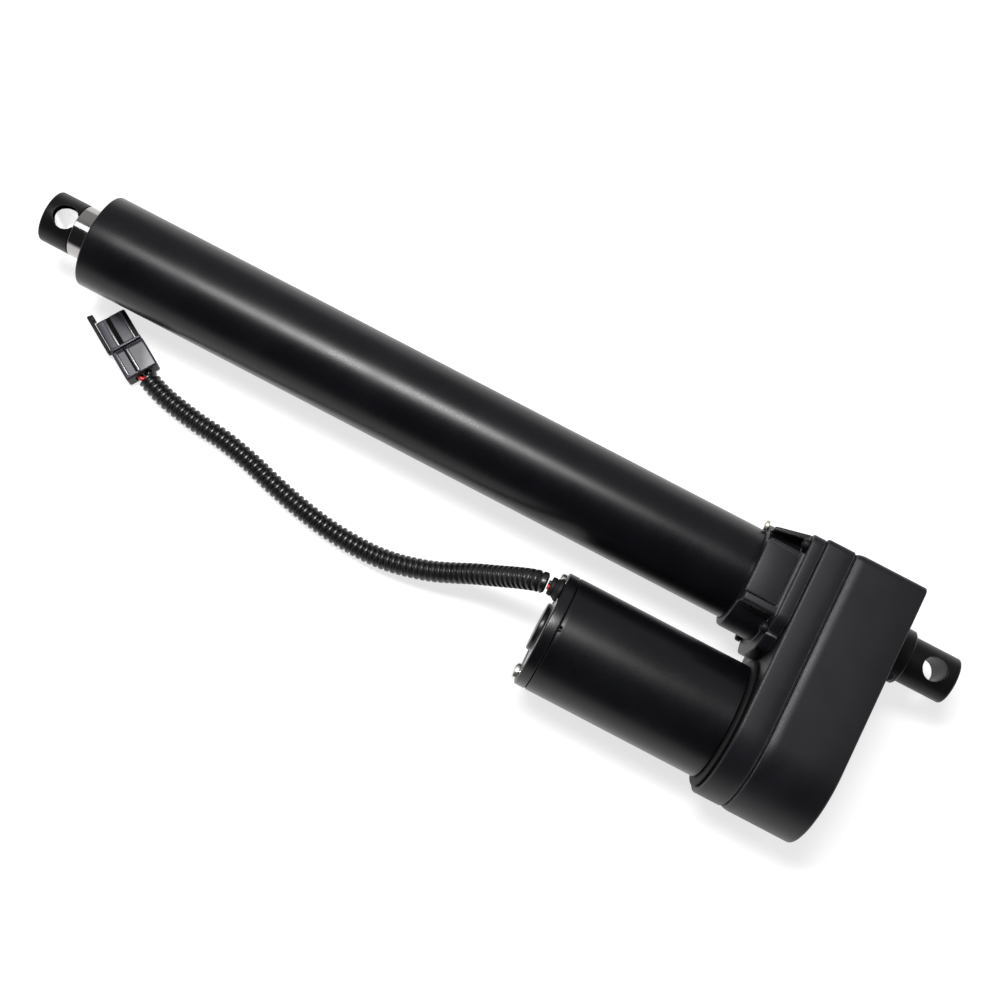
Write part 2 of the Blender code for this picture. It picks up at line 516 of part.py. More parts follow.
def smooth_route(pts, step):
    """Even points on a Catmull-Rom curve through the route's own points."""
    v = [Vector(p) for p in pts]
    dense = []
    for i in range(len(v) - 1):
        p0 = v[i - 1] if i else v[0] * 2 - v[1]
        p1, p2 = v[i], v[i + 1]
        p3 = v[i + 2] if i + 2 < len(v) else v[-1] * 2 - v[-2]
        for k in range(20):
            t = k / 20
            dense.append(0.5 * ((2 * p1) + (p2 - p0) * t + (2 * p0 - 5 * p1 + 4 * p2 - p3) * t * t
                                + (3 * p1 - p0 - 3 * p2 + p3) * t ** 3))
    dense.append(v[-1])
    total = sum((b - a).length for a, b in zip(dense, dense[1:]))
    n = max(2, round(total / step))
    out, want, run = [dense[0]], total / n, 0.0
    k = 1
    for a, b in zip(dense, dense[1:]):
        d = (b - a).length
        while k < n and run + d >= k * want:
            out.append(a.lerp(b, (k * want - run) / d))
            k += 1
        run += d
    out.append(dense[-1])
    return out, total


def tube_curve(name, pts, r, mat, res=3):
    cu = bpy.data.curves.new(name, 'CURVE')
    cu.dimensions = '3D'
    cu.bevel_depth = r * MM
    cu.bevel_resolution = res
    cu.use_fill_caps = True
    sp = cu.splines.new('POLY')
    sp.points.add(len(pts) - 1)
    for p, q in zip(sp.points, pts):
        p.co = (*P(*q), 1)
    o = bpy.data.objects.new(name, cu)
    put(o, mat)
    return smooth(freeze(o))


route, COND_LEN = smooth_route(ROUTE, 13.0)
route[1:1] = [Vector(ROUTE[1])]                    # level where it leaves the grommet
loom = tube_curve("cable_loom", route, COND_R, M_LOOM, 3)

# two leads cross the short gaps between the loom and its neighbours
WR = 1.5
for nm, dy, dz, mat in (("lead_red_motor", 1.2, 1.1, M_RED), ("lead_black_motor", -1.2, -1.1, M_BLACK)):
    tube_curve(nm, [(150.0, GR_Y + dy, GR_Z + dz), (160.0, GR_Y + dy, GR_Z + dz), (168.1, GR_Y + dy, GR_Z + dz)], WR - 0.1, mat, 2)

# ---------------------------------------------------------------- connector
PL = (411.5, 47.6, -32.15)          # centre of the connector's rear face
PANG = radians(-31.5)              # its heading in the floor plane
PLUG = Matrix.Translation(P(*PL)) @ Matrix.Rotation(PANG, 4, 'Z')


def plug_box(name, s0, s1, w, h, mat, n0=0.0, z0=0.0, coll=PARTS):
    """Box from s0 to s1 along the connector, width w about n0, height h about z0."""
    me = bpy.data.meshes.new(name)
    bm = bmesh.new()
    bmesh.ops.create_cube(bm, size=1.0)
    bmesh.ops.scale(bm, vec=((s1 - s0) * MM, w * MM, h * MM), verts=bm.verts)
    bm.to_mesh(me)
    bm.free()
    o = bpy.data.objects.new(name, me)
    put(o, mat, coll)
    o.matrix_world = PLUG @ Matrix.Translation(Vector(((s0 + s1) / 2, n0, z0)) * MM)
    return o


body = bevel(plug_box("connector_body", 0.0, 17.0, 18.4, 13.0, M_PLUG), 1.2, 2)
for i, n in enumerate((-2.6, 2.6)):
    c = plug_box("cut_body_%d" % i, -3.0, 9.0, 4.4, 5.0, None, n, 0.0, CUTS)
    boolean(body, c)
boolean(body, bevel(plug_box("add_body_rib", 1.0, 16.0, 1.6, 1.2, None, 0.9, 6.7, CUTS), 0.3), 'UNION')
shroud = bevel(plug_box("connector_shroud", 17.3, 35.8, 17.2, 12.2, M_PLUG), 1.2, 2)
boolean(shroud, plug_box("cut_shroud", 21.0, 40.0, 13.6, 8.6, None, 0, 0, CUTS))
boolean(shroud, bevel(plug_box("add_shroud_rib", 18.2, 35.2, 1.4, 1.2, None, 3.1, 6.3, CUTS), 0.3), 'UNION')
boolean(shroud, plug_box("cut_shroud_groove", 18.6, 40.0, 1.2, 2.0, None, 1.6, 6.1, CUTS))
latch = bevel(plug_box("connector_latch", 19.0, 42.6, 1.8, 6.0, M_PLUG, 10.0, 0.0), 0.4)
hook = bevel(plug_box("add_latch_hook", 38.8, 42.4, 3.4, 5.6, None, 9.3, 0.0, CUTS), 0.4)
boolean(latch, hook, 'UNION')
for nm, n in (("terminal_1", -4.4), ("terminal_2", 4.4)):
    plug_box(nm, 21.4, 29.4, 3.2, 1.2, M_COPPER, n, 0.0)

END = Vector(ROUTE[-1])
for nm, n, mat in (("lead_red_plug", 1.6, M_RED), ("lead_black_plug", -1.6, M_BLACK)):
    fwd = Vector((cos(PANG), sin(PANG), 0.0))
    nrm = Vector((-sin(PANG), cos(PANG), 0.0))
    start = END + Vector((cos(radians(-21)), sin(radians(-21)), 0.02)) * 0.9 + Vector((sin(radians(21)), cos(radians(21)), 0)) * n
    face = Vector(PL) + nrm * (n * 1.6)
    pts = [start, face - fwd * 0.4, face + fwd * 5.0]
    tube_curve(nm, [tuple(p) for p in pts], 1.25, mat, 2)

# ---------------------------------------------------------------- moving groups
slide = empty("joint_rod_slide", P(0, 0, 0))
hang(slide, rod, eye, eye_pin, nut)
spin = empty("joint_screw", P(0, 0, 0))
hang(spin, screw, gear_nut, outgear)
mid = empty("joint_cluster", P(0, CLUSTER_Y, 0))
hang(mid, wheel, cpinion)
rotor = empty("joint_rotor", P(0, AXIS_D, 0))
hang(rotor, m_shaft, pinion, armature, commutator)
bpy.context.view_layer.update()
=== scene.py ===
import json
import bpy
import bmesh
from math import sin, cos, tan, pi, radians, sqrt, atan2
from mathutils import Matrix, Vector


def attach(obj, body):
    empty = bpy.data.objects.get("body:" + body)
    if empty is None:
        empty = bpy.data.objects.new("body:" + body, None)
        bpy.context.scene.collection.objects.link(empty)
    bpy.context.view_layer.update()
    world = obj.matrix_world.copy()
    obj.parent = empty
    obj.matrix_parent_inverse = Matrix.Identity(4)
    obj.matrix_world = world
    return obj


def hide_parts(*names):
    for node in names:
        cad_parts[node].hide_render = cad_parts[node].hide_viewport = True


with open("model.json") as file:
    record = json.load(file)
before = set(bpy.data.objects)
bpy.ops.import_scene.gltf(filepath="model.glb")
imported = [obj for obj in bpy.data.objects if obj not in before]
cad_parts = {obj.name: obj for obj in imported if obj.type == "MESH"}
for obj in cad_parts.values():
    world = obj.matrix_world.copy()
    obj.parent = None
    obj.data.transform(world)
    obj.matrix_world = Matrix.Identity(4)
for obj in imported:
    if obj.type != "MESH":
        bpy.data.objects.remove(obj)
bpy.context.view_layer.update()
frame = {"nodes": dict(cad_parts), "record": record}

NODES = frame["nodes"]
scene = bpy.context.scene

# ------------------------------------------------------------------ frame
# stations "a" run along the tube from the gear case's rear wall, y across
# from the tube axis towards the motor, z up from the axes' plane (all mm)
MM = 0.001
A_TIP, A_REND = 486.8, -39.3
AXIS_D, CASE_H, CASE_TOP = 73.0, 38.7, -29.3
XC = (A_TIP + A_REND) / 2
YC = (AXIS_D + CASE_H + CASE_TOP) / 2
ZC = CASE_H


def P(a, y=0.0, z=0.0):
    return Vector(((a - XC) * MM, (y - YC) * MM, (z + ZC) * MM))


# ------------------------------------------------------------------ camera
cam = bpy.data.objects.new("camera", bpy.data.cameras.new("camera"))
scene.collection.objects.link(cam)
scene.camera = cam
cam.data.sensor_width = 36.0
CAM_POS = P(190.41, 161.42, 771.89)
CAM_TGT = P(209.54, 24.23, 0.0)
CAM_ROLL = 31.9
cam.data.lens = 1516.65 / 1000.0 * 36.0
w = (CAM_TGT - CAM_POS).normalized()
r0 = w.cross(Vector((0, -1, 0))).normalized()
u0 = r0.cross(w)
r1 = cos(CAM_ROLL) * r0 + sin(CAM_ROLL) * u0
u1 = -sin(CAM_ROLL) * r0 + cos(CAM_ROLL) * u0
cam.matrix_world = Matrix(((r1.x, u1.x, -w.x, CAM_POS.x), (r1.y, u1.y, -w.y, CAM_POS.y),
                           (r1.z, u1.z, -w.z, CAM_POS.z), (0, 0, 0, 1)))
cam.data.clip_start = 0.01
cam.data.clip_end = 50.0


# ------------------------------------------------------------------ materials
def new_mat(name):
    m = bpy.data.materials.new(name)
    m.use_nodes = True
    return m, m.node_tree, m.node_tree.nodes["Principled BSDF"]


def node(nt, kind, **kw):
    n = nt.nodes.new(kind)
    for k, v in kw.items():
        if k.startswith("i_"):
            n.inputs[k[2:].replace("_", " ")].default_value = v
        else:
            setattr(n, k, v)
    return n


def link(nt, a, b):
    nt.links.new(a, b)


def ramp(nt, fac, lo, hi, p0=0.0, p1=1.0):
    """Colour ramp between two RGB colours."""
    r = nt.nodes.new("ShaderNodeValToRGB")
    r.color_ramp.elements[0].position = p0
    r.color_ramp.elements[1].position = p1
    r.color_ramp.elements[0].color = (*lo, 1)
    r.color_ramp.elements[1].color = (*hi, 1)
    link(nt, fac, r.inputs["Fac"])
    return r.outputs["Color"]


def rng(nt, val, a, b, c, d):
    m = nt.nodes.new("ShaderNodeMapRange")
    for k, v in zip(("From Min", "From Max", "To Min", "To Max"), (a, b, c, d)):
        m.inputs[k].default_value = v
    link(nt, val, m.inputs["Value"])
    return m.outputs["Result"]


def coords(nt, scale=(1, 1, 1)):
    tc = nt.nodes.new("ShaderNodeTexCoord")
    mp = nt.nodes.new("ShaderNodeMapping")
    mp.inputs["Scale"].default_value = scale
    link(nt, tc.outputs["Object"], mp.inputs["Vector"])
    return mp.outputs["Vector"]


def noise(nt, vec, scale, detail=4.0, rough=0.55, dist=0.0):
    n = nt.nodes.new("ShaderNodeTexNoise")
    n.inputs["Scale"].default_value = scale
    n.inputs["Detail"].default_value = detail
    n.inputs["Roughness"].default_value = rough
    n.inputs["Distortion"].default_value = dist
    link(nt, vec, n.inputs["Vector"])
    return n.outputs["Fac"]


def math2(nt, op, a, b=None, vb=0.0):
    m = nt.nodes.new("ShaderNodeMath")
    m.operation = op
    link(nt, a, m.inputs[0])
    if b is not None:
        link(nt, b, m.inputs[1])
    else:
        m.inputs[1].default_value = vb
    return m.outputs[0]


def bump(nt, height, strength, dist, normal=None):
    b = nt.nodes.new("ShaderNodeBump")
    b.inputs["Strength"].default_value = strength
    b.inputs["Distance"].default_value = dist
    link(nt, height, b.inputs["Height"])
    if normal is not None:
        link(nt, normal, b.inputs["Normal"])
    return b.outputs["Normal"]


def soft_edge(nt, radius):
    """Rounded-looking edges, and a mask that is 1 on edges and corners, where paint() lays rubbed wear and a painted
    edge highlight.
    """
    bv = nt.nodes.new("ShaderNodeBevel")
    bv.samples = 6
    bv.inputs["Radius"].default_value = radius
    geo = nt.nodes.new("ShaderNodeNewGeometry")
    dot = nt.nodes.new("ShaderNodeVectorMath")
    dot.operation = 'DOT_PRODUCT'
    link(nt, bv.outputs["Normal"], dot.inputs[0])
    link(nt, geo.outputs["Normal"], dot.inputs[1])
    edge = rng(nt, dot.outputs["Value"], 0.992, 0.90, 0.0, 1.0)
    return bv.outputs["Normal"], edge


def paint(name, base, rough, coat=0.0, peel=0.06, grain=900.0, edge_wear_and_highlight=0.35, edge=0.0006, spec=0.5, grain_depth=0.00004, edge_highlight_add=0.03, keep=0.0):
    """Sprayed or coated metal: fine grain, soft mottling, edges lightened by rubbed wear and a painted highlight."""
    m, nt, b = new_mat(name)
    v = coords(nt)
    fine = noise(nt, v, grain, 3.0, 0.6)
    blot = noise(nt, v, 26.0, 5.0, 0.6, 0.4)
    nrm, edge_mask = soft_edge(nt, edge)
    dark = tuple(c * 0.82 for c in base)
    light = tuple(c * 1.22 for c in base)
    col = ramp(nt, blot, dark, light, 0.32, 0.70)
    mix = nt.nodes.new("ShaderNodeMix")
    mix.data_type = 'RGBA'
    # edges are mixed toward a lighter colour: rubbed wear plus a painted edge highlight
    scuff_and_highlight = math2(nt, 'MULTIPLY', edge_mask, rng(nt, noise(nt, v, 180.0, 4.0, 0.7), 0.42, 0.62, keep, 1.0))
    link(nt, math2(nt, 'MULTIPLY', scuff_and_highlight, vb=edge_wear_and_highlight), mix.inputs["Factor"])
    link(nt, col, mix.inputs["A"])
    mix.inputs["B"].default_value = (base[0] * 4 + edge_highlight_add, base[1] * 4 + edge_highlight_add, base[2] * 4 + edge_highlight_add, 1)
    link(nt, mix.outputs["Result"], b.inputs["Base Color"])
    r = math2(nt, 'ADD', rng(nt, blot, 0.3, 0.7, rough - 0.035, rough + 0.035), rng(nt, fine, 0.35, 0.65, -peel / 2, peel / 2))
    link(nt, r, b.inputs["Roughness"])
    b.inputs["Specular IOR Level"].default_value = spec
    b.inputs["Coat Weight"].default_value = coat
    b.inputs["Coat Roughness"].default_value = 0.12
    link(nt, bump(nt, fine, 0.35, grain_depth, nrm), b.inputs["Normal"])
    return m


def metal(name, base, rough, axis=None, scratch=0.12, edge=0.0003):
    """Bare metal; axis names the direction that its fine lines run round."""
    m, nt, b = new_mat(name)
    sc = (1, 1, 1) if axis is None else {'X': (2600, 14, 14), 'Y': (14, 2600, 14), 'Z': (14, 14, 2600)}[axis]
    v = coords(nt, sc)
    lines = noise(nt, v, 60.0 if axis is None else 1.0, 3.0, 0.6)
    blot = noise(nt, coords(nt), 60.0, 3.0, 0.5)
    nrm, edge_mask = soft_edge(nt, edge)
    col = ramp(nt, blot, tuple(c * 0.90 for c in base), tuple(min(1, c * 1.06) for c in base), 0.3, 0.7)
    link(nt, col, b.inputs["Base Color"])
    b.inputs["Metallic"].default_value = 1.0
    link(nt, math2(nt, 'ADD', rng(nt, blot, 0.3, 0.7, rough - 0.03, rough + 0.03), rng(nt, lines, 0.3, 0.7, -scratch / 2, scratch / 2)), b.inputs["Roughness"])
    link(nt, bump(nt, lines, 0.12, 0.00002, nrm), b.inputs["Normal"])
    return m


def plastic(name, base, rough, grain=1400.0, depth=0.00002, coat=0.0, edge=0.0004, spec=0.5):
    m, nt, b = new_mat(name)
    v = coords(nt)
    fine = noise(nt, v, grain, 2.0, 0.5)
    blot = noise(nt, v, 40.0, 4.0, 0.6)
    nrm, edge_mask = soft_edge(nt, edge)
    col = ramp(nt, blot, tuple(c * 0.86 for c in base), tuple(min(1, c * 1.16) for c in base), 0.32, 0.68)
    link(nt, col, b.inputs["Base Color"])
    link(nt, rng(nt, blot, 0.3, 0.7, rough - 0.03, rough + 0.05), b.inputs["Roughness"])
    b.inputs["Specular IOR Level"].default_value = spec
    b.inputs["Coat Weight"].default_value = coat
    b.inputs["Coat Roughness"].default_value = 0.08
    link(nt, bump(nt, fine, 0.3, depth, nrm), b.inputs["Normal"])
    return m


M_TUBE = paint("tube_satin_black", (0.0028, 0.0028, 0.0041), 0.31, peel=0.05, grain=1300.0, edge=0.0005, edge_wear_and_highlight=0.20, spec=0.26)
# the case's edges are lightened strongly: rubbed wear plus a painted edge highlight
M_CASE = paint("case_charcoal", (0.0049, 0.0050, 0.0071), 0.44, peel=0.10, grain=1500.0, edge=0.0011, edge_wear_and_highlight=1.0, grain_depth=0.00007, spec=0.28, edge_highlight_add=0.13, keep=0.6)
M_MOTOR = paint("motor_satin_black", (0.0027, 0.0028, 0.0039), 0.33, peel=0.06, grain=1300.0, edge=0.0005, edge_wear_and_highlight=0.20, spec=0.29)
M_CAP = paint("motor_cap_black", (0.0035, 0.0036, 0.0048), 0.29, peel=0.05, grain=1300.0, edge=0.0006, edge_wear_and_highlight=0.24, spec=0.33)
M_EYE = paint("eye_black", (0.0030, 0.0030, 0.0034), 0.38, peel=0.06, grain=1100.0, edge=0.0006, edge_wear_and_highlight=0.30, spec=0.17)
M_CHROME = metal("rod_polished", (0.40, 0.385, 0.38), 0.14, 'X', 0.05)
M_BORE = metal("bore_bright", (0.90, 0.90, 0.90), 0.22, 'Z', 0.06)
nt = M_BORE.node_tree
b = nt.nodes["Principled BSDF"]
tc = nt.nodes.new("ShaderNodeTexCoord")
off = node(nt, "ShaderNodeVectorMath", operation='SUBTRACT')
off.inputs[1].default_value = P(0, 0, 0)
flat = node(nt, "ShaderNodeVectorMath", operation='MULTIPLY')
flat.inputs[1].default_value = (0, 1, 1)
far = node(nt, "ShaderNodeVectorMath", operation='LENGTH')
link(nt, tc.outputs["Object"], off.inputs[0])
link(nt, off.outputs[0], flat.inputs[0])
link(nt, flat.outputs[0], far.inputs[0])
up = node(nt, "ShaderNodeSeparateXYZ")
link(nt, off.outputs[0], up.inputs[0])
lip = rng(nt, math2(nt, 'ADD', far.outputs["Value"], rng(nt, noise(nt, coords(nt), 400.0), 0.3, 0.7, -0.0003, 0.0003)), 0.0094, 0.0098, 0.0, 1.0)
lip = math2(nt, 'MULTIPLY', lip, rng(nt, up.outputs["Z"], 0.0, 0.001, 0.0, 1.0))
mixc = node(nt, "ShaderNodeMix", data_type='RGBA')
link(nt, lip, mixc.inputs["Factor"])
link(nt, b.inputs["Base Color"].links[0].from_socket, mixc.inputs["A"])
mixc.inputs["B"].default_value = (0.003, 0.003, 0.0034, 1)
link(nt, mixc.outputs["Result"], b.inputs["Base Color"])
link(nt, rng(nt, lip, 0.0, 1.0, 1.0, 0.0), b.inputs["Metallic"])
b.inputs["Specular IOR Level"].default_value = 0.0
M_PASSIVE = metal("screw_passivated", (0.56, 0.53, 0.46), 0.52, None, 0.06, edge=0.0003)
M_STEEL = metal("steel_machined", (0.52, 0.52, 0.54), 0.30, None, 0.10)
M_BLACKOX = paint("screw_black", (0.0045, 0.0045, 0.0050), 0.46, peel=0.06, grain=1500.0, edge=0.0002, edge_wear_and_highlight=0.15, spec=0.20)
M_ZINC = metal("zinc_screw", (0.74, 0.73, 0.70), 0.26, None, 0.10, edge=0.0002)
M_BRONZE = metal("bronze_turned", (0.58, 0.36, 0.16), 0.34, 'X', 0.12)
M_COPPER = metal("copper_wound", (0.72, 0.36, 0.20), 0.34, 'X', 0.14)
M_FERRITE = plastic("ferrite_sintered", (0.055, 0.055, 0.060), 0.62, 700.0, 0.00006)
M_RUBBER = plastic("rubber_black", (0.0040, 0.0040, 0.0043), 0.60, 900.0, 0.00004, spec=0.25)
M_CARBON = plastic("carbon_phenolic", (0.030, 0.028, 0.026), 0.66, 900.0, 0.00004)
M_LOOM = plastic("loom_gloss_black", (0.0042, 0.0042, 0.0048), 0.30, 1500.0, 0.00001, coat=0.0, edge=0.0003)
M_PLUG = plastic("plug_dark_grey", (0.0195, 0.0170, 0.0275), 0.36, 1500.0, 0.00001, coat=0.0, edge=0.0004, spec=0.45)
# near-black plastic in the plug's groove and gutter: painted shade in the recesses
M_SLOT_SHADE = plastic("plug_slot_painted_shade", (0.0012, 0.0012, 0.0014), 0.60, 1500.0, 0.00001, edge=0.0003, spec=0.06)
# lighter, glossier plastic on the plug's ribs and rails: a painted highlight along their tops
M_RIB_HIGHLIGHT = plastic("plug_rib_painted_highlight", (0.060, 0.058, 0.066), 0.24, 1500.0, 0.00001, edge=0.0004, spec=0.60)
# darker plastic for the plug's side faces, side steps, notch and latch: painted shade
M_PLUG_SHADE = plastic("plug_shadowed_black", (0.0035, 0.0035, 0.0042), 0.50, 1500.0, 0.00001, coat=0.0, edge=0.0003, spec=0.18)
M_RED = plastic("wire_red", (0.60, 0.012, 0.014), 0.34, 1500.0, 0.00001)
M_WBLACK = plastic("wire_black", (0.010, 0.010, 0.011), 0.38, 1500.0, 0.00001)


# ------------------------------------------------------------------ mesh tools
OBJ = bpy.data.collections.new("actuator_looks")
CUT = bpy.data.collections.new("tools")
scene.collection.children.link(OBJ)
scene.collection.children.link(CUT)
LAY = Matrix(((0, 0, 1), (1, 0, 0), (0, 1, 0))).to_4x4()      # local z -> X, x -> Y, y -> Z


def from_bm(name, bm, mat, coll=OBJ):
    bmesh.ops.recalc_face_normals(bm, faces=bm.faces)
    me = bpy.data.meshes.new(name)
    bm.to_mesh(me)
    bm.free()
    o = bpy.data.objects.new(name, me)
    coll.objects.link(o)
    if mat is not None:
        me.materials.append(mat)
    return o


def finish_mesh(o, angle=35, drop=True):
    """Apply the modifiers, drop the cutters, shade smooth with sharp edges."""
    bpy.context.view_layer.update()
    dg = bpy.context.evaluated_depsgraph_get()
    cut = [m.object for m in o.modifiers if m.type == 'BOOLEAN' and m.object]
    me = bpy.data.meshes.new_from_object(o.evaluated_get(dg))
    old = o.data
    o.modifiers.clear()
    o.data = me
    bpy.data.meshes.remove(old)
    for c in cut:
        if drop:
            bpy.data.objects.remove(c, do_unlink=True)
    me.shade_smooth()
    me.set_sharp_from_angle(angle=radians(angle))
    return o


def turn_bm(prof, y=0.0, z=0.0, seg=128, phase=0.0):
    """Solid or ring of revolution about a line parallel to X."""
    bm = bmesh.new()
    rings = []
    closed = not (prof[0][1] < 1e-9 and prof[-1][1] < 1e-9)
    for a, r in prof:
        if r < 1e-9:
            rings.append([bm.verts.new(P(a, y, z))])
        else:
            rings.append([bm.verts.new(P(a, y + r * cos(phase + 2 * pi * i / seg), z + r * sin(phase + 2 * pi * i / seg))) for i in range(seg)])
    n = len(rings)
    for k in range(n if closed else n - 1):
        A, B = rings[k], rings[(k + 1) % n]
        for i in range(seg):
            j = (i + 1) % seg
            if len(A) == 1 and len(B) == 1:
                break
            if len(A) == 1:
                bm.faces.new((A[0], B[i], B[j]))
            elif len(B) == 1:
                bm.faces.new((A[i], B[0], A[j]))
            else:
                bm.faces.new((A[i], B[i], B[j], A[j]))
    return bm


def turned(name, prof, mat, y=0.0, z=0.0, seg=128, coll=OBJ, angle=35, phase=0.0):
    o = from_bm(name, turn_bm(prof, y, z, seg, phase), mat, coll)
    o.data.shade_smooth()
    o.data.set_sharp_from_angle(angle=radians(angle))
    return o


def arc(a0, r0, rad, t0, t1, n=6):
    """Points of a small fillet in an (a, r) profile."""
    return [(a0 + rad * cos(radians(t0 + (t1 - t0) * i / n)), r0 + rad * sin(radians(t0 + (t1 - t0) * i / n))) for i in range(n + 1)]


def cyl(name, axis, r, c, half, seg=64, r2=None):
    bm = bmesh.new()
    bmesh.ops.create_cone(bm, cap_ends=True, cap_tris=False, segments=seg, radius1=r * MM,
                          radius2=(r if r2 is None else r2) * MM, depth=2 * half * MM)
    rot = {'X': Matrix.Rotation(pi / 2, 4, 'Y'), 'Y': Matrix.Rotation(-pi / 2, 4, 'X'), 'Z': Matrix.Identity(4)}[axis]
    bmesh.ops.transform(bm, matrix=Matrix.Translation(P(*c)) @ rot, verts=bm.verts)
    return from_bm(name, bm, None, CUT)


def prism(name, pts3, vec, mat=None, coll=CUT):
    """Closed prism: a face through pts3, pushed along vec (world metres)."""
    bm = bmesh.new()
    f = bm.faces.new([bm.verts.new(p) for p in pts3])
    e = bmesh.ops.extrude_face_region(bm, geom=[f])
    bmesh.ops.translate(bm, vec=vec, verts=[g for g in e['geom'] if isinstance(g, bmesh.types.BMVert)])
    return from_bm(name, bm, mat, coll)


def boxy(name, lo, hi, mat=None, coll=CUT):
    bm = bmesh.new()
    bmesh.ops.create_cube(bm, size=1.0)
    L, H = P(*lo), P(*hi)
    bmesh.ops.transform(bm, matrix=Matrix.Translation((L + H) / 2) @ Matrix.Diagonal((*(H - L), 1)), verts=bm.verts)
    return from_bm(name, bm, mat, coll)


def boolean(o, other, op='DIFFERENCE'):
    m = o.modifiers.new("b", 'BOOLEAN')
    m.operation = op
    m.solver = 'EXACT'
    m.object = other
    other.hide_render = True
    for mat in other.data.materials:
        if mat is not None and len(o.data.materials) and mat not in list(o.data.materials):
            o.data.materials.append(mat)
    return o


def bevel(o, width, seg=3, angle=40):
    m = o.modifiers.new("v", 'BEVEL')
    m.width = width * MM
    m.segments = seg
    m.limit_method = 'ANGLE'
    m.angle_limit = radians(angle)
    m.use_clamp_overlap = True
    m.harden_normals = False
    return o


def loft(name, rings, mat, coll=OBJ, angle=35, caps=(True, True)):
    """Skin between outlines with equal point counts (world points)."""
    bm = bmesh.new()
    R = [[bm.verts.new(p) for p in ring] for ring in rings]
    n = len(R[0])
    for A, B in zip(R, R[1:]):
        for i in range(n):
            bm.faces.new((A[i], B[i], B[(i + 1) % n], A[(i + 1) % n]))
    if caps[0]:
        bm.faces.new(R[0])
    if caps[1]:
        bm.faces.new(R[-1][::-1])
    o = from_bm(name, bm, mat, coll)
    o.data.shade_smooth()
    o.data.set_sharp_from_angle(angle=radians(angle))
    return o


def case_outline(off=0.0, corner=4.0, n_round=72, n_corner=8, n_side=1):
    h, top = CASE_H - off, CASE_TOP + off
    r = max(corner - off, 0.8)
    pts = []
    for i in range(n_round + 1):
        t = pi / 2 - pi * i / n_round
        pts.append((AXIS_D + h * cos(t), h * sin(t)))
    for i in range(n_corner + 1):
        t = -pi / 2 - (pi / 2) * i / n_corner
        pts.append((top + r + r * cos(t), -h + r + r * sin(t)))
    for i in range(n_corner + 1):
        t = pi - (pi / 2) * i / n_corner
        pts.append((top + r + r * cos(t), h - r + r * sin(t)))
    return pts


def ring_at(a, off):
    return [P(a, u, v) for u, v in case_outline(off)]


HOME = {n: b for b, ns in frame["record"]["behaviour"]["bodies"].items() for n in ns}


def stands_for(o, *nodes, slot=None):
    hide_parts(*nodes)
    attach(o, HOME[nodes[0]])
    return o


# ------------------------------------------------------------------ tube and rod
HOLE_R, EYE_R, REAR_R = 6.4, 14.0, 12.6
A_FHOLE, A_EYE, A_RIM, A_TUBE = 475.5, 470.0, 457.6, 68.3
TUBE_R, TUBE_RI, ROD_R, ROD_RI = 25.4, 22.4, 14.0, 10.5
GAP = 0.3

tube = turned("tube_shell", [(A_TUBE, TUBE_RI), (A_TUBE, TUBE_R - 0.4), (A_TUBE + 0.4, TUBE_R)]
              + [(A_TUBE + (A_RIM - A_TUBE) * i / 24, TUBE_R) for i in range(1, 24)]
              + [(A_RIM - 0.9, TUBE_R)] + arc(A_RIM - 0.9, TUBE_R - 0.9, 0.9, 90, 0, 6)[1:] + [(A_RIM, TUBE_RI)],
              M_TUBE, seg=192)
stands_for(tube, "cover_tube", slot="tube_paint")

ROD_A0 = 104.3
rod = turned("rod_tube", [(ROD_A0, ROD_RI), (ROD_A0, ROD_R - 0.4), (ROD_A0 + 0.4, ROD_R)]
             + [(ROD_A0 + (A_EYE - ROD_A0) * i / 12, ROD_R) for i in range(1, 12)]
             + [(A_EYE - 0.7, ROD_R), (A_EYE - GAP, ROD_R - 0.4), (A_EYE - GAP, ROD_RI)], M_CHROME, seg=160)
boolean(rod, cyl("c_pin", 'Z', 2.8, (446.0, 0, 0), 20, 32))
stands_for(finish_mesh(rod), "extension_rod", slot="rod_chrome")


def eye_piece(name, prof, a_hole, r_out, mat, extra=(), seg=160):
    """Turned eye with a chamfered cross hole; the hole wall is bright metal on the rod eye and black eye paint on the
    rear eye.
    """
    inside = M_BORE if name.startswith("rod") else M_EYE
    o = turned(name, prof, mat, seg=seg)
    o.data.materials.append(inside)
    tool = cyl("c_hole", 'Z', HOLE_R, (a_hole, 0, 0), 24, 96)
    tool.data.materials.append(inside)
    boolean(o, tool)
    for s in (1, -1):
        r_a, r_b = (HOLE_R - 1.0, HOLE_R + 2.0) if s > 0 else (HOLE_R + 2.0, HOLE_R - 1.0)
        c = cyl("c_cham", 'Z', r_a, (a_hole, 0, s * (r_out + 0.0)), 1.5, 96, r2=r_b)
        c.data.materials.append(M_EYE)
        boolean(o, c)
    for c in extra:
        boolean(o, c)
    return finish_mesh(o, 32)


eye = eye_piece("rod_eye_body", [(434.0, 0), (434.0, 9.8), (434.4, 10.2), (A_EYE, 10.2), (A_EYE, EYE_R - 0.3), (A_EYE + 0.3, EYE_R),
                                 (A_TIP - 1.2, EYE_R)] + arc(A_TIP - 1.2, EYE_R - 1.2, 1.2, 90, 0, 5)[1:] + [(A_TIP, 0)],
                A_FHOLE, EYE_R, M_EYE, [cyl("c_pin2", 'Z', 2.8, (446.0, 0, 0), 20, 32)])
stands_for(eye, "rod_eye", slot="eye_black")

reye = eye_piece("rear_eye_body", [(A_REND, 0), (A_REND, REAR_R - 1.3)] + [(A_REND + 1.3 - 1.3 * cos(radians(t)), REAR_R - 1.3 + 1.3 * sin(radians(t))) for t in (18, 36, 54, 72, 90)]
                 + [(-13.1, REAR_R), (-13.1, 8.0), (7.2, 8.0), (7.2, 0)], -26.5, REAR_R, M_EYE)
stands_for(reye, "rear_eye", slot="eye_black")

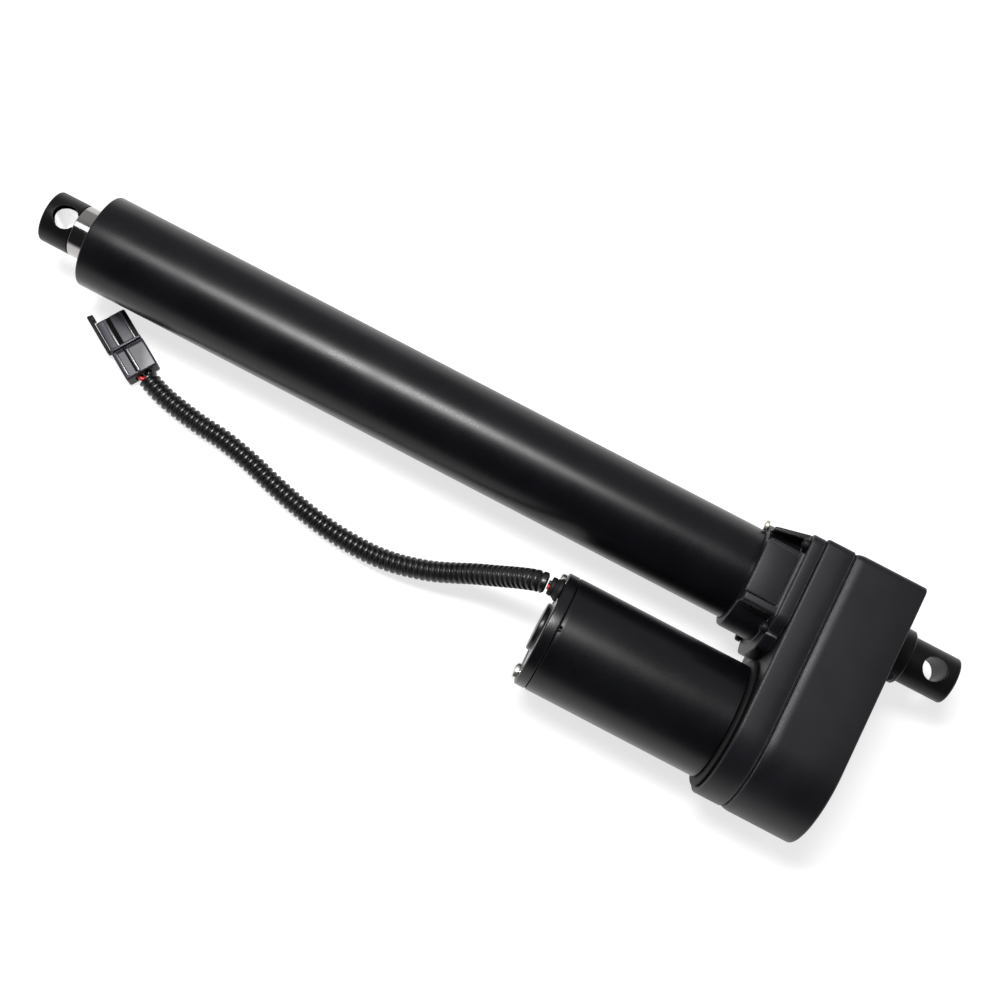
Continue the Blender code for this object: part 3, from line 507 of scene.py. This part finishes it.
wiper = turned("wiper_lip", [(452.4, ROD_R + 0.3), (452.4, TUBE_RI - GAP), (A_RIM - 0.4, TUBE_RI - GAP), (A_RIM, TUBE_RI - 0.7),
                             (A_RIM + 0.1, ROD_R + 5.2), (A_RIM - 0.5, ROD_R + 4.4), (A_RIM - 0.4, ROD_R + 2.8), (A_RIM + 0.9, ROD_R + 1.8), (A_RIM + 1.2, ROD_R + 1.0), (A_RIM + 1.0, ROD_R + 0.3)],
               M_RUBBER, seg=128)
stands_for(wiper, "rod_wiper_seal", slot="rubber")

# ------------------------------------------------------------------ gear case
A_S2 = 38.6
rings = []
# rear face, small round at the rear edge, sides, wide round-over towards the joint
for t in range(0, 7):
    q = radians(90 * t / 6)
    rings.append(ring_at(1.3 - 1.3 * cos(q) , 1.3 - 1.3 * sin(q)))
rings.append(ring_at(16.0, 0.0))
rings.append(ring_at(33.6, 0.0))
for t in range(1, 9):
    q = radians(38 * t / 8)
    rings.append(ring_at(33.6 + 4.8 * sin(q) / sin(radians(38)), 0.85 * (1 - cos(q)) / (1 - cos(radians(38)))))
rings.append(ring_at(A_S2, 1.15))
rear = loft("rear_case", rings, M_CASE)
cav = prism("c_cav", [P(A_S2 + 6, u, v) for u, v in case_outline(3.2)], (-(A_S2 + 6 - 3.6) * MM, 0, 0))
boss = turned("c_boss", [(-12.8, 0), (-12.8, 14.1), (-12.0, 14.9), (-5.0, 15.0), (-3.4, 15.4), (-2.0, 16.2), (-0.9, 17.5), (2.0, 18.6), (2.0, 0)], M_EYE, seg=128, coll=CUT)
gprof = [(1.0, 8.0), (1.0, 24.6), (-0.6, 22.6), (-2.2, 20.9), (-10.4, 14.6), (-10.4, 8.0)]
gus = bevel(prism("c_gus", [P(a, y, -9.6) for a, y in gprof], (0, 0, 19.2 * MM)), 0.9, 3, 50)
boolean(rear, boss, 'UNION')
boolean(rear, gus, 'UNION')
boolean(rear, cav)
boolean(rear, cyl("c_bore", 'X', 8.3, (-5.0, 0, 0), 15, 64))
stands_for(finish_mesh(rear, 28), "rear_cover", slot="case_coat")

gasket = loft("case_gasket_strip", [ring_at(A_S2 + 0.3, 1.25), ring_at(A_S2 + 0.9, 1.25)], M_RUBBER)
boolean(gasket, prism("c_gk", [P(A_S2 - 2, u, v) for u, v in case_outline(3.2)], (5 * MM, 0, 0)))
stands_for(finish_mesh(gasket), "case_gasket", slot="rubber")

GH0, GH1 = A_S2 + 1.2, 54.85
rings = [ring_at(GH0, 0.8), ring_at(GH0 + 0.15, 0.6), ring_at(GH0 + 0.45, 0.5), ring_at(46.0, 0.5)]
for t in range(0, 7):
    q = radians(90 * t / 6)
    rings.append(ring_at(GH1 - 1.3 + 1.3 * sin(q), 0.5 + 1.3 * (1 - cos(q))))
gh = loft("gear_case_front", rings, M_CASE)
boolean(gh, prism("c_ghc", [P(GH0 - 4, u, v) for u, v in case_outline(3.6)], ((50.8 - GH0 + 4) * MM, 0, 0)))
boolean(gh, cyl("c_gh1", 'X', 20.0, (53, 0, 0), 6, 96))
boolean(gh, cyl("c_gh2", 'X', 9.0, (53, AXIS_D, 0), 6, 64))
SCREWS = [("housing_screw_1", -21.5, 33.2), ("housing_screw_2", -21.5, -33.2), ("housing_screw_3", 24.6, 28.6), ("housing_screw_4", 24.6, -28.6)]
for nm, y, z in SCREWS:
    boolean(gh, cyl("c_g" + nm, 'X', 2.4, (53.5, y, z), 6, 32))
stands_for(finish_mesh(gh, 28), "gear_housing", slot="case_coat")

# front housing: flange, collar, saddle with its raised ribs, top web
A_COL = 80.8


def smooth_loop(ctrl, n=10):
    """Rounds the corners of a closed outline of (u, v, radius) points."""
    out = []
    m = len(ctrl)
    for i in range(m):
        p0, p1, p2 = Vector(ctrl[i - 1][:2]), Vector(ctrl[i][:2]), Vector(ctrl[(i + 1) % m][:2])
        r = ctrl[i][2]
        d0, d1 = (p0 - p1).normalized(), (p2 - p1).normalized()
        ang = d0.angle(d1)
        if r <= 0 or abs(ang - pi) < 0.01:
            out.append(tuple(p1))
            continue
        t = r / tan(ang / 2)
        s, e = p1 + d0 * t, p1 + d1 * t
        c = p1 + (d0 + d1).normalized() * (r / sin(ang / 2))
        a0 = atan2(s.y - c.y, s.x - c.x)
        da = atan2(e.y - c.y, e.x - c.x) - a0
        while da > pi:
            da -= 2 * pi
        while da < -pi:
            da += 2 * pi
        for k in range(n + 1):
            out.append((c.x + r * cos(a0 + da * k / n), c.y + r * sin(a0 + da * k / n)))
    return out


FT = CASE_TOP + 1.4
fl = smooth_loop([(FT, -38.0, 5.0), (FT, 38.0, 5.0), (19.0, 38.0, 7.0), (34.5, 22.0, 9.0), (37.2, 0.0, 0.0), (34.5, -22.0, 9.0), (19.0, -38.0, 7.0)], 8)


def fl_ring(a, off):
    c = Vector((4.0, 0.0))
    out = []
    for u, v in fl:
        d = Vector((u, v)) - c
        out.append(P(a, *(c + d * (1 - off / d.length))))
    return out


rings = [fl_ring(55.15, 0.5), fl_ring(55.5, 0.1), fl_ring(55.9, 0.0)]
for t in range(0, 6):
    q = radians(90 * t / 5)
    rings.append(fl_ring(61.0 + 1.0 * sin(q), 1.0 * (1 - cos(q))))
fh = loft("front_case", rings, M_CASE)
collar = turned("c_col", [(58.0, 0), (58.0, 29.2), (A_COL - 1.6, 29.2), (A_COL - 0.5, 28.8), (A_COL, 27.8), (A_COL, 0)], None, seg=128, coll=CUT)
saddle = bevel(boxy("c_sad", (58.5, -16.4, -35.4), (A_COL - 0.4, 18.2, 35.4)), 1.2, 4)
web = bevel(prism("c_web", [P(a, y, -30.0) for a, y in [(58.6, CASE_TOP + 1.6), (62.6, CASE_TOP + 1.6), (A_COL - 0.6, -23.6), (A_COL - 0.6, -21.6), (58.6, -25.6)]], (0, 0, 60 * MM)), 0.7, 3)
boolean(fh, collar, 'UNION')
boolean(fh, saddle, 'UNION')
boolean(fh, web, 'UNION')
boolean(fh, cyl("c_spig", 'X', 19.6, (50.5, 0, 0), 8.2, 96), 'UNION')
# groove round the pad on both sides
for s in (1, -1):
    z0, z1 = sorted((s * 34.6, s * 37.0))
    boolean(fh, boxy("c_groove%d" % s, (62.4, -17.0, z0), (64.0, 13.6, z1)))
boolean(fh, cyl("c_ft", 'X', TUBE_R + GAP, (A_TUBE + 25.0 - GAP, 0, 0), 25, 128))
boolean(fh, cyl("c_fb", 'X', 16.2, (53.7, 0, 0), 13.2, 64))
boolean(fh, cyl("c_fn", 'X', 12.5, (68, 0, 0), 3, 64))
for nm, y, z in SCREWS:
    boolean(fh, cyl("c_f" + nm, 'X', 2.4, (58.5, y, z), 6, 32))
stands_for(finish_mesh(fh, 28), "front_housing", slot="case_coat")

for nm, z0, z1 in (("collar_pad_top", 35.7, 37.4), ("collar_pad_bottom", -37.4, -35.7)):
    pad = bevel(boxy("look_" + nm, (64.5, -14.0, z0), (81.4, 14.0, z1), M_CASE, OBJ), 0.7, 4)
    stands_for(finish_mesh(pad), nm, slot="case_coat")


def cap_screw(node_name, a_head, y, z, r_head, h_head, r_shank, length, mat=M_ZINC):
    """Domed cap screw with a hexagon socket and a rounded head."""
    prof = [(a_head - length, 0), (a_head - length, r_shank - 0.5), (a_head - length + 0.5, r_shank), (a_head, r_shank), (a_head, r_head - 0.2), (a_head + 0.2, r_head),
            (a_head + h_head * 0.55, r_head)]
    for t in (20, 40, 60, 80):
        q = radians(t)
        prof.append((a_head + h_head * (0.55 + 0.45 * sin(q)), r_head * (0.62 + 0.38 * cos(q))))
    prof += [(a_head + h_head, r_head * 0.58), (a_head + h_head, 0)]
    o = turned("look_" + node_name, prof, mat, y=y, z=z, seg=48)
    boolean(o, cyl("c_hex", 'X', r_head * 0.46, (a_head + h_head, y, z), h_head * 0.5, 6))
    return stands_for(finish_mesh(o, 32), node_name, slot="steel")


for nm, y, z in SCREWS:
    cap_screw(nm, 62.3, y, z, 3.0, 3.0, 2.0, 10.6, M_BLACKOX)
cl = turned("look_clamp", [(81.1, 0), (81.1, 2.6), (81.3, 2.8), (82.2, 2.8), (82.7, 2.5), (83.0, 1.8), (83.1, 0)], M_PASSIVE, y=-26.3, z=11.2, seg=48)
boolean(cl, boxy("c_slot", (82.6, -30.0, 10.85), (84.0, -23.0, 11.55)))
stands_for(finish_mesh(cl), "collar_clamp_screw", slot="steel")

# ------------------------------------------------------------------ motor
MOTOR_R, MOTOR_RI = 31.5, 28.5
A_CAN0, A_CAN1, A_CAP = 57.7, 154.0, 160.4
can = turned("motor_can_shell", [(A_CAN0, MOTOR_RI), (A_CAN0, MOTOR_R - 0.5), (A_CAN0 + 0.5, MOTOR_R)]
             + [(A_CAN0 + (A_CAN1 - A_CAN0) * i / 10, MOTOR_R) for i in range(1, 10)]
             + [(A_CAN1 - 2.6, MOTOR_R), (A_CAN1 - 0.5, MOTOR_R), (A_CAN1 - 0.15, MOTOR_R - 0.15), (A_CAN1, MOTOR_R - 0.5), (A_CAN1, MOTOR_RI)], M_MOTOR, y=AXIS_D, seg=192)
# crimp notches in the can's rim
for i, t in enumerate((90, 270)):
    q = radians(t)
    y, z = AXIS_D + (MOTOR_R - 0.3) * cos(q), (MOTOR_R - 0.3) * sin(q)
    c = cyl("c_notch%d" % i, 'X', 1.5, (A_CAN1, y, z), 1.6, 24)
    boolean(can, c)
stands_for(finish_mesh(can), "motor_can", slot="motor_paint")

seal = turned("motor_seal_lip", [(55.3, 29.0), (55.3, 35.2)] + [(55.3 + 1.0 - 1.0 * cos(radians(t)), 34.7 + 1.0 * sin(radians(t))) for t in (30, 60, 90)]
              + [(56.7, 35.4), (57.2, 34.8), (57.4, 33.8), (57.4, 29.0)], M_RUBBER, y=AXIS_D, seg=160)
stands_for(seal, "motor_seal_ring", slot="rubber")

GR_Y, GR_Z, BOLT_R = 53.8, 15.0, 25.6
cap = turned("motor_cap", [(146.5, 8.9), (146.5, 12.0), (151.0, 12.0), (151.0, MOTOR_RI - GAP), (A_CAN1 + 0.35, MOTOR_RI - GAP), (A_CAN1 + 0.35, MOTOR_R - 0.4), (A_CAN1 + 0.7, MOTOR_R),
                           (A_CAP - 0.9, MOTOR_R)] + arc(A_CAP - 0.9, MOTOR_R - 0.9, 0.9, 90, 0, 6)[1:]
             + [(A_CAP, 22.6), (A_CAP - 0.5, 22.1), (A_CAP - 0.5, 15.0), (A_CAP - 0.1, 13.8), (A_CAP + 0.5, 13.1), (A_CAP + 1.9, 13.1), (A_CAP + 2.5, 12.7), (A_CAP + 2.7, 12.1),
                (A_CAP + 2.7, 0), (158.0, 0), (158.0, 8.9)], M_CAP, y=AXIS_D, seg=192)
boolean(cap, cyl("c_out", 'X', 4.2, (155, GR_Y, GR_Z), 12, 48))
for i, yb in enumerate((AXIS_D - BOLT_R, AXIS_D + BOLT_R)):
    boolean(cap, cyl("c_bolt%d" % i, 'X', 2.2, (155, yb, 0), 12, 32))
stands_for(finish_mesh(cap), "motor_end_cap", slot="motor_paint")
for i, yb in enumerate((AXIS_D - BOLT_R, AXIS_D + BOLT_R)):
    cap_screw("motor_through_bolt_%d" % (i + 1), A_CAP + 0.3, yb, 0, 4.6, 2.9, 1.9, 96.0)

grom = turned("grommet", [(152.0, 3.1), (152.0, 3.9), (160.7, 3.9), (160.7, 5.9), (161.0, 6.2), (162.2, 6.2), (162.7, 5.9), (163.2, 5.35), (164.0, 5.1), (164.3, 4.7), (164.7, 4.7), (165.0, 5.0), (165.8, 4.95), (166.6, 4.8), (167.0, 4.4), (167.0, 3.1)],
              M_RUBBER, y=GR_Y, z=GR_Z, seg=72)
stands_for(grom, "cable_grommet", slot="rubber")

# ------------------------------------------------------------------ cable
ROUTE = [(168.7, 53.9, 15.0), (171.6, 54.1, 14.7), (176.2, 55.0, 12.2), (183.5, 56.9, 5.8), (192.5, 59.6, -2.2), (203.6, 63.1, -10.6),
         (213.5, 66.9, -16.8), (225.4, 71.2, -22.2), (241.2, 75.0, -27.2), (255.4, 76.6, -30.6), (270.6, 76.4, -32.6), (286.5, 75.0, -33.0), (303.1, 72.1, -33.0),
         (320.3, 68.0, -33.0), (338.4, 62.8, -33.0), (356.2, 59.0, -33.0), (373.0, 57.2, -33.0), (389.5, 54.4, -33.0),
         (399.6, 51.8, -32.9), (408.6, 48.5, -32.6)]
COND_R = 5.65


def spline(pts, step):
    v = [Vector(p) for p in pts]
    dense = []
    for i in range(len(v) - 1):
        p0 = v[i - 1] if i else v[0] * 2 - v[1]
        p1, p2 = v[i], v[i + 1]
        p3 = v[i + 2] if i + 2 < len(v) else v[-1] * 2 - v[-2]
        for k in range(40):
            t = k / 40
            dense.append(0.5 * ((2 * p1) + (p2 - p0) * t + (2 * p0 - 5 * p1 + 4 * p2 - p3) * t * t + (3 * p1 - p0 - 3 * p2 + p3) * t ** 3))
    dense.append(v[-1])
    total = sum((b - a).length for a, b in zip(dense, dense[1:]))
    n = max(2, round(total / step))
    out, want, run, k = [dense[0]], total / n, 0.0, 1
    for a, b in zip(dense, dense[1:]):
        d = (b - a).length
        while k < n and run + d >= k * want:
            out.append(a.lerp(b, (k * want - run) / d))
            k += 1
        run += d
    out.append(dense[-1])
    return out, total


def sweep(name, pts, radius, mat, seg=32, wall=None, slit=None):
    """Tube along mm points. radius(i, s, angle) gives the local radius."""
    W = [P(*p) for p in pts]
    n = len(W)
    tan_ = [(W[min(i + 1, n - 1)] - W[max(i - 1, 0)]).normalized() for i in range(n)]
    nrm = Vector((0, 0, 1)) - tan_[0] * tan_[0].z
    nrm.normalize()
    bm = bmesh.new()
    rings, inner, s = [], [], 0.0
    for i in range(n):
        if i:
            s += (W[i] - W[i - 1]).length / MM
            nrm = (nrm - tan_[i] * nrm.dot(tan_[i])).normalized()
        bi = tan_[i].cross(nrm)
        rings.append([bm.verts.new(W[i] + (nrm * cos(2 * pi * k / seg) + bi * sin(2 * pi * k / seg)) * radius(i, s, 2 * pi * k / seg) * MM) for k in range(seg)])
        if wall:
            inner.append([bm.verts.new(W[i] + (nrm * cos(2 * pi * k / seg) + bi * sin(2 * pi * k / seg)) * wall * MM) for k in range(seg)])
    def skin(R):
        for A, B in zip(R, R[1:]):
            for k in range(seg):
                j = (k + 1) % seg
                bm.faces.new((A[k], A[j], B[j], B[k]))
    skin(rings)
    if wall:
        skin(inner)
        for A, B in ((rings[0], inner[0]), (rings[-1], inner[-1])):
            for k in range(seg):
                j = (k + 1) % seg
                bm.faces.new((A[k], A[j], B[j], B[k]))
    else:
        bm.faces.new(rings[0])
        bm.faces.new(rings[-1][::-1])
    o = from_bm(name, bm, mat)
    o.data.shade_smooth()
    o.data.set_sharp_from_angle(angle=radians(50))
    return o


PITCH = 3.3
cpts, CLEN = spline(ROUTE, 0.33)


def corr(i, s, ang):
    """Rounded crests with narrower valleys, and the split along the tube."""
    q = (s / PITCH) % 1.0
    crest = 0.5 - 0.5 * cos(2 * pi * q)
    crest = min(1.0, crest * 1.55) ** 0.8
    r = COND_R - 1.15 * (1 - crest)
    d = abs((ang - radians(236) + pi) % (2 * pi) - pi)
    if d < 0.10:
        r -= 0.55 * (1 - d / 0.10)
    return r


loom = sweep("loom_corrugated", cpts, corr, M_LOOM, seg=40, wall=3.7)
stands_for(loom, "cable_loom", slot="loom_plastic")

for nm, dy, dz, mat, slot in (("lead_red_motor", 1.25, 1.15, M_RED, "wire_red"), ("lead_black_motor", -1.25, -1.15, M_WBLACK, "wire_black")):
    q, _ = spline([(150.0, GR_Y + dy, GR_Z + dz), (158.0, GR_Y + dy, GR_Z + dz), (164.0, GR_Y + dy, GR_Z + dz), (168.1, GR_Y + dy, GR_Z + dz)], 0.8)
    o = sweep("look_" + nm, q, lambda i, s, a: 1.38, mat, seg=20)
    stands_for(o, nm, slot=slot)

# ------------------------------------------------------------------ connector
PL, PANG = Vector((411.5, 47.6, -32.15)), radians(-31.5)
E1, E2 = Vector((cos(PANG), sin(PANG), 0)), Vector((-sin(PANG), cos(PANG), 0))


def Q(s, n, z):
    """Point s along the connector, n across, z up from its middle (world)."""
    p = PL + E1 * s + E2 * n
    return P(p.x, p.y, p.z + z)


def shade_plug_sides(o, *dirs):
    """The faces that look along dirs take the darker material: painted shade on the plug's sides."""
    me = o.data
    idx = [i for i, m in enumerate(me.materials) if m == M_PLUG_SHADE]
    if not idx:
        me.materials.append(M_PLUG_SHADE)
        idx = [len(me.materials) - 1]
    for f in me.polygons:
        if any(f.normal.dot(d) > 0.72 for d in dirs):
            f.material_index = idx[0]
    return o


def qbox(name, s0, s1, w, h, mat=None, n0=0.0, z0=0.0, coll=CUT):
    bm = bmesh.new()
    v = [bm.verts.new(Q(s, n0 + sn * w / 2, z0 + sz * h / 2)) for s in (s0, s1) for sn, sz in ((-1, -1), (1, -1), (1, 1), (-1, 1))]
    for f in ((0, 1, 2, 3), (7, 6, 5, 4), (0, 4, 5, 1), (1, 5, 6, 2), (2, 6, 7, 3), (3, 7, 4, 0)):
        bm.faces.new([v[i] for i in f])
    return from_bm(name, bm, mat, coll)


body = bevel(qbox("plug_rear", 0.0, 17.0, 18.4, 13.0, M_PLUG, coll=OBJ), 1.0, 4)
for n in (-2.6, 2.6):
    boolean(body, qbox("c_cavity", -3.0, 9.0, 4.4, 5.0, None, n))
# the ribs and rails here and below take the lighter plastic: painted highlight
boolean(body, bevel(qbox("c_ribb", 1.0, 16.0, 1.6, 1.2, M_RIB_HIGHLIGHT, 0.9, 6.7), 0.4, 3), 'UNION')
boolean(body, bevel(qbox("c_ribl", 1.4, 15.4, 1.5, 1.1, M_RIB_HIGHLIGHT, 7.2, 6.5), 0.4, 3), 'UNION')
# the gutter here and the shroud's groove below are lined with near-black plastic: painted shade
boolean(body, qbox("c_gut", 1.6, 17.4, 0.9, 1.6, M_SLOT_SHADE, 2.2, 6.6))
# the notch, the shroud's side steps and the latch take the darker plastic: painted shade
boolean(body, qbox("c_notch_a", 14.8, 15.9, 15.0, 1.6, M_PLUG_SHADE, -0.6, 6.6))
for z in (-1.0, 1.0):
    boolean(body, qbox("c_hollow", 2.4, 14.6, 1.2, 3.4, None, z * 9.2, 0.0))
stands_for(shade_plug_sides(finish_mesh(body), -E1, E2, -E2), "connector_body", slot="plug_plastic")

shroud = bevel(qbox("plug_shroud", 17.3, 35.8, 17.2, 12.2, M_PLUG, coll=OBJ), 1.0, 4)
boolean(shroud, qbox("c_mouth", 21.0, 40.0, 13.6, 8.6))
boolean(shroud, bevel(qbox("c_ribs", 18.2, 35.2, 1.6, 1.2, M_RIB_HIGHLIGHT, 3.6, 6.3), 0.4, 3), 'UNION')
boolean(shroud, qbox("c_groove", 19.0, 40.0, 2.3, 2.6, M_SLOT_SHADE, 1.6, 6.1))
for z in (-1.0, 1.0):
    boolean(shroud, qbox("c_step", 16.0, 40.0, 3.0, 2.6, M_PLUG_SHADE, -8.1, z * 6.1))
    boolean(shroud, bevel(qbox("c_rail", 18.0, 35.4, 1.3, 1.0, M_RIB_HIGHLIGHT, -6.0, 6.15 if z > 0 else -5.95), 0.35, 3), 'UNION')
boolean(shroud, bevel(qbox("c_collar", 17.4, 18.9, 17.9, 12.9), 0.35, 3), 'UNION')
stands_for(shade_plug_sides(finish_mesh(shroud), -E2, E2), "connector_shroud", slot="plug_plastic")

latch = bevel(qbox("plug_latch", 19.0, 42.6, 1.8, 6.0, M_PLUG_SHADE, 10.0, 0.0, OBJ), 0.5, 3)
boolean(latch, bevel(qbox("c_hook", 38.8, 42.4, 3.4, 5.6, None, 9.3), 0.5, 3), 'UNION')
stands_for(finish_mesh(latch), "connector_latch", slot="plug_plastic")
for nm, n in (("terminal_1", -4.4), ("terminal_2", 4.4)):
    t = bevel(qbox("look_" + nm, 21.4, 29.4, 3.2, 1.2, M_COPPER, n, 0.0, OBJ), 0.3, 2)
    stands_for(finish_mesh(t), nm, slot="copper")

END = Vector(ROUTE[-1])
for nm, n, mat, slot in (("lead_red_plug", 1.6, M_RED, "wire_red"), ("lead_black_plug", -1.6, M_WBLACK, "wire_black")):
    start = END + Vector((cos(radians(-21)), sin(radians(-21)), 0.02)) * 0.9 + Vector((sin(radians(21)), cos(radians(21)), 0)) * n
    face = PL + E2 * (n * 1.6)
    q, _ = spline([start, face - E1 * 0.4, face + E1 * 5.0], 0.6)
    o = sweep("look_" + nm, q, lambda i, s, a: 1.23, mat, seg=20)
    stands_for(o, nm, slot=slot)

# ------------------------------------------------------------------ inner nodes
INNER = {M_STEEL: ("rod_eye_pin", "lead_screw", "screw_end_nut", "thrust_bearing_rear", "thrust_bearing_front", "bearing_spacer", "motor_pinion",
                   "cluster_wheel", "cluster_pinion", "output_gear", "cluster_shaft", "rear_eye_nut", "motor_front_plate", "motor_bearing_front",
                   "motor_bearing_rear", "motor_shaft"),
         M_BRONZE: ("rod_guide_bushing", "drive_nut"), M_COPPER: ("armature", "commutator"), M_FERRITE: ("magnet_upper", "magnet_lower"),
         M_CARBON: ("brush_card", "brush_upper", "brush_lower")}
for mat, names in INNER.items():
    for n in names:
        o = NODES[n]
        o.data.materials.clear()
        o.data.materials.append(mat)

# ------------------------------------------------------------------ stage
FLOOR_GLOW, WORLD_BRIGHT, WORLD_DARK, KEY_W = 0.70, 0.46, 0.026, 13.0
bm = bmesh.new()
bmesh.ops.create_grid(bm, x_segments=2, y_segments=2, size=6.0)
floor = from_bm("floor", bm, None)
m, nt, b = new_mat("floor_white")
b.inputs["Base Color"].default_value = (0.42, 0.42, 0.42, 1)
link(nt, rng(nt, noise(nt, coords(nt), 8.0), 0.3, 0.7, 0.72, 0.82), b.inputs["Roughness"])
b.inputs["Emission Color"].default_value = (1, 1, 1, 1)
b.inputs["Emission Strength"].default_value = FLOOR_GLOW
floor.data.materials.append(m)

scene.view_settings.view_transform = 'Standard'
scene.view_settings.look = 'None'
scene.view_settings.exposure = 0.0

world = bpy.data.worlds.new("studio")
scene.world = world
world.use_nodes = True
nt = world.node_tree
bg = nt.nodes["Background"]
tc = nt.nodes.new("ShaderNodeTexCoord")
sep = nt.nodes.new("ShaderNodeSeparateXYZ")
link(nt, tc.outputs["Generated"], sep.inputs[0])
side_y = rng(nt, sep.outputs["Y"], -0.62, 0.12, WORLD_BRIGHT, WORLD_DARK)
side_x = rng(nt, math2(nt, 'ABSOLUTE', sep.outputs["X"]), 0.38, 0.80, 0.0, 0.70)
low = rng(nt, sep.outputs["Z"], 0.06, 0.16, 0.42, 0.0)
link(nt, math2(nt, 'MAXIMUM', math2(nt, 'MAXIMUM', side_y, side_x), low), bg.inputs["Strength"])
bg.inputs["Color"].default_value = (1.0, 1.0, 1.0, 1)


def softbox(name, loc, target, sx, sy, watts, color=(1, 1, 1), spread=180):
    l = bpy.data.lights.new(name, 'AREA')
    l.shape = 'RECTANGLE'
    l.size, l.size_y = sx, sy
    l.energy = watts
    l.color = color
    l.spread = radians(spread)
    o = bpy.data.objects.new(name, l)
    scene.collection.objects.link(o)
    o.location = loc
    d = Vector(target) - Vector(loc)
    o.rotation_euler = d.to_track_quat('-Z', 'Y').to_euler()
    return o


softbox("key", (0.20, -0.18, 1.06), (0.12, -0.04, 0.04), 0.46, 0.20, KEY_W)
softbox("rod_glint", P(780, -81, 900), P(464, 0, 14), 0.30, 0.26, 0.9)

bpy.context.view_layer.update()
